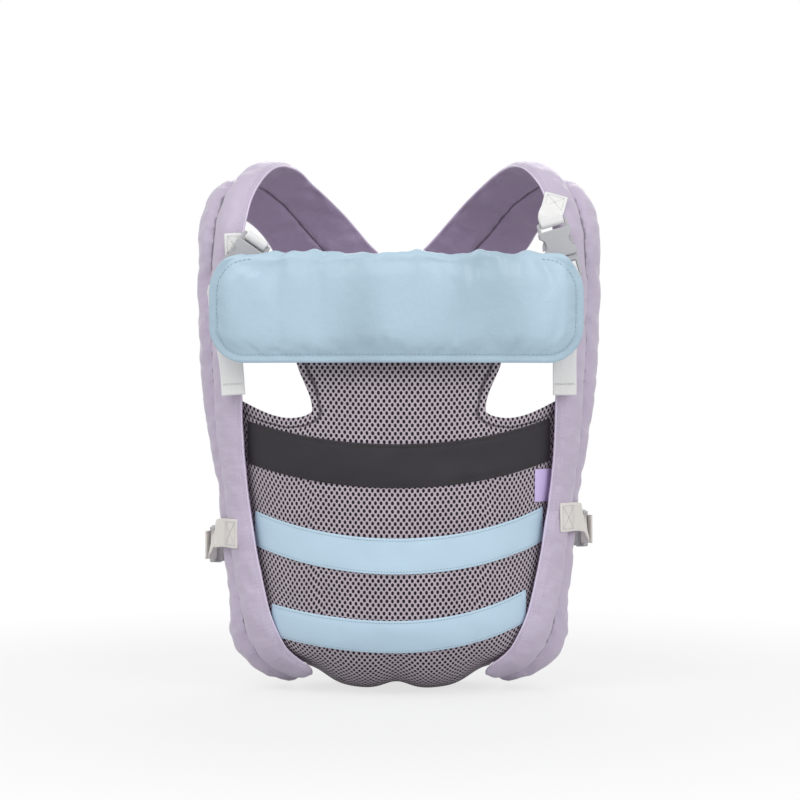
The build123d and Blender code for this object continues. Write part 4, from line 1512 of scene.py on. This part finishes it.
class BuckleFrame:
    """A buckle's place: along is the way its inner half pulls out, outward its face."""

    def __init__(self, stem):
        self.along = unit(np.array(JOINTS[f"release_{stem}"]["axis"], float))
        self.outward = unit(np.array(JOINTS[f"squeeze_a_{stem}"]["axis"], float))
        roots = [np.array(JOINTS[f"squeeze_{way}_{stem}"]["pos_m"], float) for way in "ab"]
        self.origin = (roots[0] + roots[1]) / 2 - self.along * ROOT_AT * MM

    def at(self, along, outward):
        """A point on the buckle's middle, given in millimetres of its frame."""
        return self.origin + (self.along * along + self.outward * outward) * MM

    def turn(self, bar, facing, upper_leg, lower_leg):
        """Route of webbing turned round a bar, lower leg first, legs to one side."""
        spots = [(bar + facing * leg, -TURN_R, 0.0, -1.0) for leg in (lower_leg, lower_leg / 2)]
        for step in range(7):
            angle = math.radians(30 * step)
            back, rise = -facing * math.sin(angle), -math.cos(angle)
            spots.append((bar + TURN_R * back, TURN_R * rise, back, rise))
        spots += [(bar + facing * leg, TURN_R, 0.0, 1.0) for leg in (upper_leg / 2, upper_leg)]
        points = [self.at(along, outward) for along, outward, away, up in spots]
        facings = [self.along * away + self.outward * up for along, outward, away, up in spots]
        return points, facings


def eased(points, facings, step=1.6 * MM):
    """A smooth route through points, evenly stepped, with its facings."""
    points = np.array(points, float)
    facings = np.array([unit(np.array(f, float)) for f in facings])
    first = 2 * points[0] - points[1]
    last = 2 * points[-1] - points[-2]
    held = np.vstack([first, points, last])
    route, ways = [], []
    for index in range(1, len(held) - 2):
        four = held[index - 1:index + 3]
        knots = [0.0]
        for one, two in zip(four, four[1:]):
            knots.append(knots[-1] + max(np.linalg.norm(two - one), 1e-7) ** 0.5)
        count = max(int(np.linalg.norm(four[2] - four[1]) / step), 2)
        for turn in range(count):
            at = knots[1] + (knots[2] - knots[1]) * turn / count

            def mix(one, two, start, end):
                return one + (two - one) * (at - start) / (end - start)

            a = [mix(four[k], four[k + 1], knots[k], knots[k + 1]) for k in range(3)]
            b = [mix(a[k], a[k + 1], knots[k], knots[k + 2]) for k in range(2)]
            route.append(mix(b[0], b[1], knots[1], knots[2]))
            share = turn / count
            ways.append(unit(facings[index - 1] * (1 - share) + facings[index] * share))
    route.append(points[-1])
    ways.append(facings[-1])
    return np.array(route), np.array(ways)


def webbing(name, route, ways, width, thick, material, offset=0.0):
    """Flat webbing along a route, with rounded selvedges, and its directions along the route."""
    count = len(route)
    ahead = np.gradient(route, axis=0)
    ahead = np.array([unit(a) for a in ahead])
    across = np.array([unit(np.cross(a, w)) for a, w in zip(ahead, ways)])
    across = np.array([unit(c) for c in smooth(across, 1.0)])
    normal = np.array([unit(np.cross(c, a)) for c, a in zip(across, ahead)])
    run = np.concatenate([[0], np.cumsum(np.linalg.norm(np.diff(route, axis=0), axis=1))])
    half, deep = width / 2, thick / 2
    section = [(-half, 0), (-half + 0.25 * MM, deep * 0.8), (-half + 0.9 * MM, deep)]
    section += [(-half + width * k / 6, deep) for k in range(1, 6)]
    section += [(half - 0.9 * MM, deep), (half - 0.25 * MM, deep * 0.8), (half, 0)]
    section += [(u, -v) for u, v in reversed(section[1:-1])]
    spots, lay, faces = [], [], []
    for index in range(count):
        for u, v in section:
            spots.append(route[index] + across[index] * u + normal[index] * (v + offset))
            lay.append((u, run[index], 0))
    sides = len(section)
    for index in range(count - 1):
        for corner in range(sides):
            here = index * sides + corner
            there = index * sides + (corner + 1) % sides
            faces.append((here, there, there + sides, here + sides))
    faces.append(tuple(range(sides))[::-1])
    faces.append(tuple((count - 1) * sides + corner for corner in range(sides)))
    made = facing_out(mesh_piece(name, spots, faces, lay, material))
    return Laid(made, route, across, normal, run)


def laid_at(laid, place):
    """The point at a distance along webbing, and the nearest step of its route."""
    spot = np.array([np.interp(place, laid.run, laid.route[:, k]) for k in range(3)])
    return spot, int(np.argmin(np.abs(laid.run - place)))


def straight(one, two):
    """A straight line of points."""
    return [one + (two - one) * k / 12 for k in range(13)]


def box_stitch(name, spot, across, along, normal, half_width, half_length, thread):
    """A sewn box with a cross through it, lying on webbing."""
    corners = [
        spot + across * half_width * a + along * half_length * b
        for a, b in ((-1, -1), (1, -1), (1, 1), (-1, 1))
    ]
    lines = [(corners[k], corners[(k + 1) % 4]) for k in range(4)]
    lines += [(corners[0], corners[2]), (corners[1], corners[3])]
    return [
        stitches(f"{name}_{index}", straight(*ends), normal, thread, 2.1 * MM, 0.72, 0.5 * MM, 0.12 * MM)
        for index, ends in enumerate(lines)
    ]


def cross_rows(name, laid, places, half_width, lift, thread):
    """Rows of stitches across webbing at distances along it, on both faces."""
    made = []
    for place in places:
        spot, index = laid_at(laid, place)
        for face in (1, -1):
            way = laid.normal[index] * face
            ends = [spot + laid.across[index] * sign * half_width + way * lift for sign in (-1, 1)]
            label = f"{name}_{place:.4f}_{face}"
            made.append(stitches(label, straight(*ends), way, thread, 2.0 * MM, 0.74, 0.5 * MM, 0.1 * MM))
    return made


class CARRIER_OT_webbing(bpy.types.Operator):
    """Makes the webbing of the four buckles, its hemmed tails and its sewn boxes"""

    bl_idname = "carrier.webbing"
    bl_label = "Webbing"

    def execute(self, context):
        given = chosen("web")
        self.thick = given.thick
        self.cloths = {
            "upper": webbing_cloth("white_webbing", given.upper, given.rib),
            "hip": webbing_cloth("cream_webbing", given.hip, given.rib),
        }
        self.thread = sewing_thread("webbing_thread", darker(given.upper, 0.72))
        self.buckles = {stem: BuckleFrame(stem) for stem in STEMS}
        self.upper_anchors()
        self.upper_tails()
        self.head_runs()
        self.hip_anchors()
        self.hip_tails()
        self.back_runs()
        return {"FINISHED"}

    def lay_web(self, node, points, facings, kind, body="carrier", pulled=None):
        """Webbing in place of a node, on one body unless pulled is given.

        When pulled is given, the webbing is tied to no body and its transform is baked into its mesh;
        the body and the points that pulled names are not used.
        """
        name = node.replace("_webbing", "_web")
        laid = webbing(name, *eased(points, facings), WIDTHS[kind], self.thick, self.cloths[kind])
        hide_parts(node)
        if pulled:
            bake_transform(laid.piece)
        else:
            hold(laid.piece, body)
        return laid

    def anchor_box(self, name, laid, kind, place, half_length):
        """A sewn box near the first end of webbing, on both its faces."""
        spot, index = laid_at(laid, place)
        across, normal = laid.across[index], laid.normal[index]
        ahead = unit(np.cross(normal, across))
        half_width = WIDTHS[kind] / 2 - 2.6 * MM
        made = []
        for sign in (1, -1):
            way = normal * sign
            top = spot + way * self.thick / 2
            made += box_stitch(
                f"{name}_{sign}", top, across, ahead, way, half_width, half_length, self.thread
            )
        hold(joined(f"{name}_box", made))

    def hem(self, name, laid, kind, body, first):
        """A tail's first or last end folded back on itself and sewn down with two rows."""
        end = laid.run[-1]
        if first:
            picks = laid.run <= HEM_FOLD
            places = (HEM_ROW, HEM_ROW + HEM_ROWS_APART)
        else:
            picks = laid.run >= end - HEM_FOLD
            places = (end - HEM_ROW, end - HEM_ROW - HEM_ROWS_APART)
        layer = webbing(
            f"{name}_hem", laid.route[picks], laid.normal[picks], WIDTHS[kind] - 0.4 * MM,
            self.thick * 0.9, self.cloths[kind], self.thick * 0.95,
        )
        hold(layer.piece, body)
        half_width = WIDTHS[kind] / 2 - 1.6 * MM
        rows = cross_rows(name, laid, places, half_width, self.thick * 0.5, self.thread)
        hold(joined(f"{name}_hem_stitches", rows), body)

    def upper_anchors(self):
        """Webbing from each strap's front to the housing's bar, a plain loop on the right."""
        buckle = self.buckles["upper_right"]
        points, facings = buckle.turn(BAR_NEAR, -1, 5.0, 5.0)
        run = millimetres((134.0, -61.5, 424.5), (130.5, -66.5, 412.0))
        ways = [-buckle.outward] * 2 + facings
        laid = self.lay_web("anchor_webbing_upper_right", run + points, ways, "upper")
        self.anchor_box("upper_right_anchor", laid, "upper", 7.5 * MM, 5.6 * MM)
        # on the left it comes from the side, and its end goes back down through the slot
        buckle = self.buckles["upper_left"]
        points, facings = buckle.turn(BAR_NEAR, 1, 0.6, 1.2)
        run = millimetres((-147.0, -73.4, 380.5), (-135.0, -73.6, 380.8))
        run += [buckle.at(9.5, -6.3), buckle.at(4.2, -5.7)]
        through = [buckle.at(2.7, 2.0), buckle.at(3.5, 0.4), buckle.at(3.5, -1.8)]
        ways = [-buckle.outward] * 4 + facings
        ways += [unit(buckle.along + buckle.outward), buckle.along, buckle.along]
        laid = self.lay_web("anchor_webbing_upper_left", run + points + through, ways, "upper")
        self.anchor_box("upper_left_anchor", laid, "upper", 8.0 * MM, 5.8 * MM)

    def upper_tails(self):
        """The two tails that hang down behind the flap."""
        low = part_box("tail_webbing_upper_right")[0].z / MM
        routes = {
            "right": millimetres(
                (140.0, -74.0, low), (140.0, -74.2, 290.0), (141.0, -74.6, 322.0), (141.6, -75.0, 338.0)
            ),
            "left": millimetres(
                (-139.5, -74.0, low), (-141.5, -74.2, 280.0), (-146.0, -74.6, 306.0),
                (-149.5, -75.2, 324.0), (-150.6, -76.4, 335.0),
            ),
        }
        for side_name, run in routes.items():
            buckle = self.buckles[f"upper_{side_name}"]
            points, facings = buckle.turn(BAR_FAR, 1, 15.0, 9.6)
            ways = [-buckle.outward] * len(run) + facings
            body = f"buckle_upper_{side_name}"
            laid = self.lay_web(f"tail_webbing_upper_{side_name}", run + points, ways, "upper", body)
            self.hem(f"upper_{side_name}", laid, "upper", body, first=True)

    def head_runs(self):
        """Webbing from the head panel's back to the upper inner halves."""
        tree = tree_of("head_panel")
        for side, side_name in SIDES:
            buckle = self.buckles[f"upper_{side_name}"]
            points = []
            for x, z in ((106.0, 309.0), (116.0, 317.0), (126.0, 326.0)):
                back = back_of(tree, side * x * MM, z * MM)
                points.append(np.array(back) + np.array((0, 1.15 * MM, 0)))
            points += [buckle.at(BAR_FAR + past, 4.7) for past in (15.0, 7.0)]
            facings = [(side * 0.22, -0.97, 0)] * 3 + [(0, -1, 0)] * 2
            self.lay_web(f"head_webbing_{side_name}", points, facings, "upper")

    def hip_anchors(self):
        """Webbing from each strap's front, round its outer edge, to the hip housing's bar."""
        for side, side_name in SIDES:
            buckle = self.buckles[f"hip_{side_name}"]
            level = buckle.origin[2] / MM
            front, turns = self.wrapped(tree_of(f"strap_cover_{side_name}"), side, (level + 13.5) * MM)
            run = millimetres((side * 160.2, -9.5, level + 10.5), (side * 163.0, -3.0, level + 4.5))
            points, turned = buckle.turn(BAR_NEAR, -1, 8.0, 10.0)
            ways = turns + [(-side, 0, 0), (-side, -0.1, 0)] + turned
            laid = self.lay_web(f"anchor_webbing_hip_{side_name}", front + run + points, ways, "hip")
            self.anchor_box(f"hip_{side_name}_anchor", laid, "hip", 10.5 * MM, 8.6 * MM)

    def wrapped(self, strap, side, level):
        """Route over the strap's outer edge at a level, from its front face to its side."""
        centre = front_of(strap, side * 139 * MM, level) + Vector((0, 14 * MM, 0))
        spots, turns = [], []
        for angle in (94, 80, 64, 48, 32, 18, 6):
            way = Vector((side * math.cos(math.radians(angle)), -math.sin(math.radians(angle)), 0))
            spots.append(np.array(on_solid(strap, centre + way * 0.06, -way) + way * 1.1 * MM))
            turns.append(-np.array(way))
        return [*smooth(spots, 0.8)], turns

    def hip_tails(self):
        """The two tails that stand out behind the hip buckles and droop."""
        falls = ((64.0, 3.0, 4.0), (72.0, 2.6, 16.0), (74.0, 2.2, 34.0))
        for _, side_name in SIDES:
            buckle = self.buckles[f"hip_{side_name}"]
            points, facings = buckle.turn(BAR_FAR, 1, 15.0, 13.0)
            for along, outward, fall in falls:
                points.append(buckle.at(along, outward) - np.array((0, 0, fall * MM)))
                facings.append(buckle.outward)
            body = f"buckle_hip_{side_name}"
            laid = self.lay_web(f"tail_webbing_hip_{side_name}", points, facings, "hip", body)
            self.hem(f"hip_{side_name}", laid, "hip", body, first=False)

    def back_runs(self):
        """Webbing from the straps' back ends to the hip buckles' inner halves."""
        for side, side_name in SIDES:
            buckle = self.buckles[f"hip_{side_name}"]
            level = buckle.origin[2] / MM
            # the strap that ends on the left crosses behind the other one
            behind = 0.0 if side > 0 else 16.0
            end_y = 102.5 + behind
            points = millimetres(
                (side * 33.0, end_y + 4.6, 270.0),
                (side * 45.5, end_y + 0.6, 257.0),
                (side * 62.0, end_y - 0.6, 238.5),
                (side * 88.0, 98.0 + 0.6 * behind, 208.0),
                (side * 116.0, 88.0 + 0.2 * behind, 174.0),
                (side * 136.0, 74.0, level + 10.0),
            )
            facings = [
                (0, 1, 0), (0, 1, 0), (side * 0.05, 1, 0.05),
                (side * 0.15, 1, 0), (side * 0.5, 0.85, 0), (side * 0.8, 0.6, 0),
            ]
            points += [buckle.at(BAR_FAR + past, -5.2) for past in (20.0, 12.0, 6.0)]
            facings += [buckle.outward] * 3
            pulled = (f"buckle_hip_{side_name}", points[1], points[-3])
            laid = self.lay_web(f"back_webbing_{side_name}", points, facings, "hip", pulled=pulled)
            self.anchor_box(f"back_{side_name}", laid, "hip", 10.5 * MM, 8.6 * MM)


class CARRIER_OT_buckles(bpy.types.Operator):
    """Finishes the four side-release buckles in moulded plastic"""

    bl_idname = "carrier.buckles"
    bl_label = "Buckles"

    def execute(self, context):
        given = chosen("buckle")
        shell = moulded_plastic("grey_acetal", given.plastic, given.roughness)
        # the prongs get a slightly darker copy of the plastic: painted shade where they sit in the housing
        inner = moulded_plastic("shaded_grey_acetal", darker(given.plastic, 0.96), given.roughness)
        for name, node in NODES.items():
            if name.startswith(("buckle_", "prong_")):
                node.data.materials.clear()
                node.data.materials.append(inner if name.startswith("prong_") else shell)
        return {"FINISHED"}


# ---- stage ----
AIM = (0, 0, 0.25)  # what the lamps point at
# name, place, size and share of the lamp power
LAMPS = (
    ("key_lamp", (-1.2, -1.6, 2.1), 1.6, 1.15),
    ("fill_lamp", (1.4, -1.7, 1.5), 1.6, 0.85),
    ("back_lamp", (0.2, 1.9, 1.5), 1.4, 0.7),
)
SENSOR = 36  # the camera's sensor, in mm
CAMERA_ASIDE = 1 * MM  # the camera stands this far right of the middle
FLOOR_HALF = 4  # half the floor's width, in metres


def soft_lamp(name, place, size, power):
    """A large square lamp that points at the carrier."""
    lamp = bpy.data.lights.new(name, "AREA")
    lamp.shape = "SQUARE"
    lamp.size = size
    lamp.energy = power
    made = bpy.data.objects.new(name, lamp)
    bpy.context.scene.collection.objects.link(made)
    made.location = place
    made.rotation_euler = (Vector(AIM) - Vector(place)).to_track_quat("-Z", "Y").to_euler()


class CARRIER_OT_stage(bpy.types.Operator):
    """Sets the pale floor, the soft lamps, the white surround and the level camera"""

    bl_idname = "carrier.stage"
    bl_label = "Stage"

    def execute(self, context):
        given = chosen("stage")
        scene = context.scene
        scene.view_settings.view_transform = "Standard"
        self.surround(scene)
        self.floor()
        for name, place, size, share in LAMPS:
            soft_lamp(name, place, size, given.power * share)
        camera = bpy.data.cameras.new("camera")
        camera.sensor_width = SENSOR
        camera.lens = SENSOR * given.distance / given.view
        camera.clip_start = 0.05
        seat = bpy.data.objects.new("camera", camera)
        scene.collection.objects.link(seat)
        seat.location = (CAMERA_ASIDE, -given.distance, given.height)
        seat.rotation_euler = (math.pi / 2, 0, 0)
        scene.camera = seat
        return {"FINISHED"}

    def surround(self, scene):
        """White where the camera or a shine looks, and dimmer as a light."""
        world = bpy.data.worlds.new("surround")
        scene.world = world
        world.use_nodes = True
        tree = world.node_tree
        tree.nodes.clear()
        out = tree.nodes.new("ShaderNodeOutputWorld")
        dim = tree.nodes.new("ShaderNodeBackground")
        dim.inputs["Strength"].default_value = 0.5
        white = tree.nodes.new("ShaderNodeBackground")
        white.inputs["Strength"].default_value = 1.0
        for shade in (dim, white):
            shade.inputs["Color"].default_value = (1, 1, 1, 1)
        path = tree.nodes.new("ShaderNodeLightPath")
        seen = tree.nodes.new("ShaderNodeMath")
        seen.operation = "MAXIMUM"
        tree.links.new(path.outputs["Is Camera Ray"], seen.inputs[0])
        tree.links.new(path.outputs["Is Glossy Ray"], seen.inputs[1])
        mix = tree.nodes.new("ShaderNodeMixShader")
        tree.links.new(seen.outputs[0], mix.inputs[0])
        tree.links.new(dim.outputs[0], mix.inputs[1])
        tree.links.new(white.outputs[0], mix.inputs[2])
        tree.links.new(mix.outputs[0], out.inputs[0])

    def floor(self):
        """A pale floor that looks white but keeps the carrier's shadow."""
        corners = [(x * FLOOR_HALF, y * FLOOR_HALF, 0) for x, y in ((-1, -1), (1, -1), (1, 1), (-1, 1))]
        floor = mesh_piece("floor", corners, [(0, 1, 2, 3)], smooth_faces=False)
        material = bpy.data.materials.new("pale_floor")
        material.use_nodes = True
        tree = material.node_tree
        shader = tree.nodes["Principled BSDF"]
        shader.inputs["Base Color"].default_value = (0.74, 0.74, 0.74, 1)
        shader.inputs["Roughness"].default_value = 0.9
        shader.inputs["Specular IOR Level"].default_value = 0.1
        glow = tree.nodes.new("ShaderNodeEmission")
        glow.inputs["Strength"].default_value = 1.0
        path = tree.nodes.new("ShaderNodeLightPath")
        place = tree.nodes.new("ShaderNodeTexCoord")
        # the floor glows more the further it is from the carrier
        far = tree.nodes.new("ShaderNodeVectorMath")
        far.operation = "LENGTH"
        tree.links.new(place.outputs["Object"], far.inputs[0])
        fade = tree.nodes.new("ShaderNodeMapRange")
        fade.interpolation_type = "SMOOTHSTEP"
        for name, value in (("From Min", 0.25), ("From Max", 0.75), ("To Min", 0.72), ("To Max", 1.0)):
            fade.inputs[name].default_value = value
        tree.links.new(far.outputs["Value"], fade.inputs["Value"])
        share = tree.nodes.new("ShaderNodeMath")
        share.operation = "MULTIPLY"
        tree.links.new(path.outputs["Is Camera Ray"], share.inputs[0])
        tree.links.new(fade.outputs["Result"], share.inputs[1])
        mix = tree.nodes.new("ShaderNodeMixShader")
        tree.links.new(share.outputs[0], mix.inputs[0])
        tree.links.new(shader.outputs[0], mix.inputs[1])
        tree.links.new(glow.outputs[0], mix.inputs[2])
        tree.links.new(mix.outputs[0], tree.nodes["Material Output"].inputs["Surface"])
        floor.data.materials.append(material)


# ---- panel in the sidebar ----
class CARRIER_PT_sidebar(bpy.types.Panel):
    """Lists the carrier's settings and makers"""

    bl_idname = "CARRIER_PT_sidebar"
    bl_label = "Soft baby carrier"
    bl_space_type = "VIEW_3D"
    bl_region_type = "UI"
    bl_category = "Carrier"

    def draw(self, context):
        """One box of settings per kind of piece, then the makers in order."""
        for kind, group in SETTINGS.items():
            box = self.layout.box()
            box.label(text=group.__doc__)
            for name in group.__annotations__:
                box.prop(getattr(context.scene, f"carrier_{kind}"), name)
        for operator in OPERATORS:
            self.layout.operator(operator.bl_idname)


OPERATORS = (
    CARRIER_OT_panel,
    CARRIER_OT_bands,
    CARRIER_OT_straps,
    CARRIER_OT_head,
    CARRIER_OT_webbing,
    CARRIER_OT_buckles,
    CARRIER_OT_stage,
)
CLASSES = (*SETTINGS.values(), *OPERATORS, CARRIER_PT_sidebar)


def register():
    """Makes the settings, makers and sidebar panel known."""
    for group in CLASSES:
        bpy.utils.register_class(group)
    for kind, group in SETTINGS.items():
        setattr(bpy.types.Scene, f"carrier_{kind}", PointerProperty(type=group))


def unregister():
    """Takes them away again."""
    for kind in SETTINGS:
        delattr(bpy.types.Scene, f"carrier_{kind}")
    for group in reversed(CLASSES):
        bpy.utils.unregister_class(group)


def main():
    """Makes every piece in order."""
    register()
    for operator in OPERATORS:
        family, name = operator.bl_idname.split(".")
        getattr(getattr(bpy.ops, family), name)()


if __name__ == "__main__":
    main()
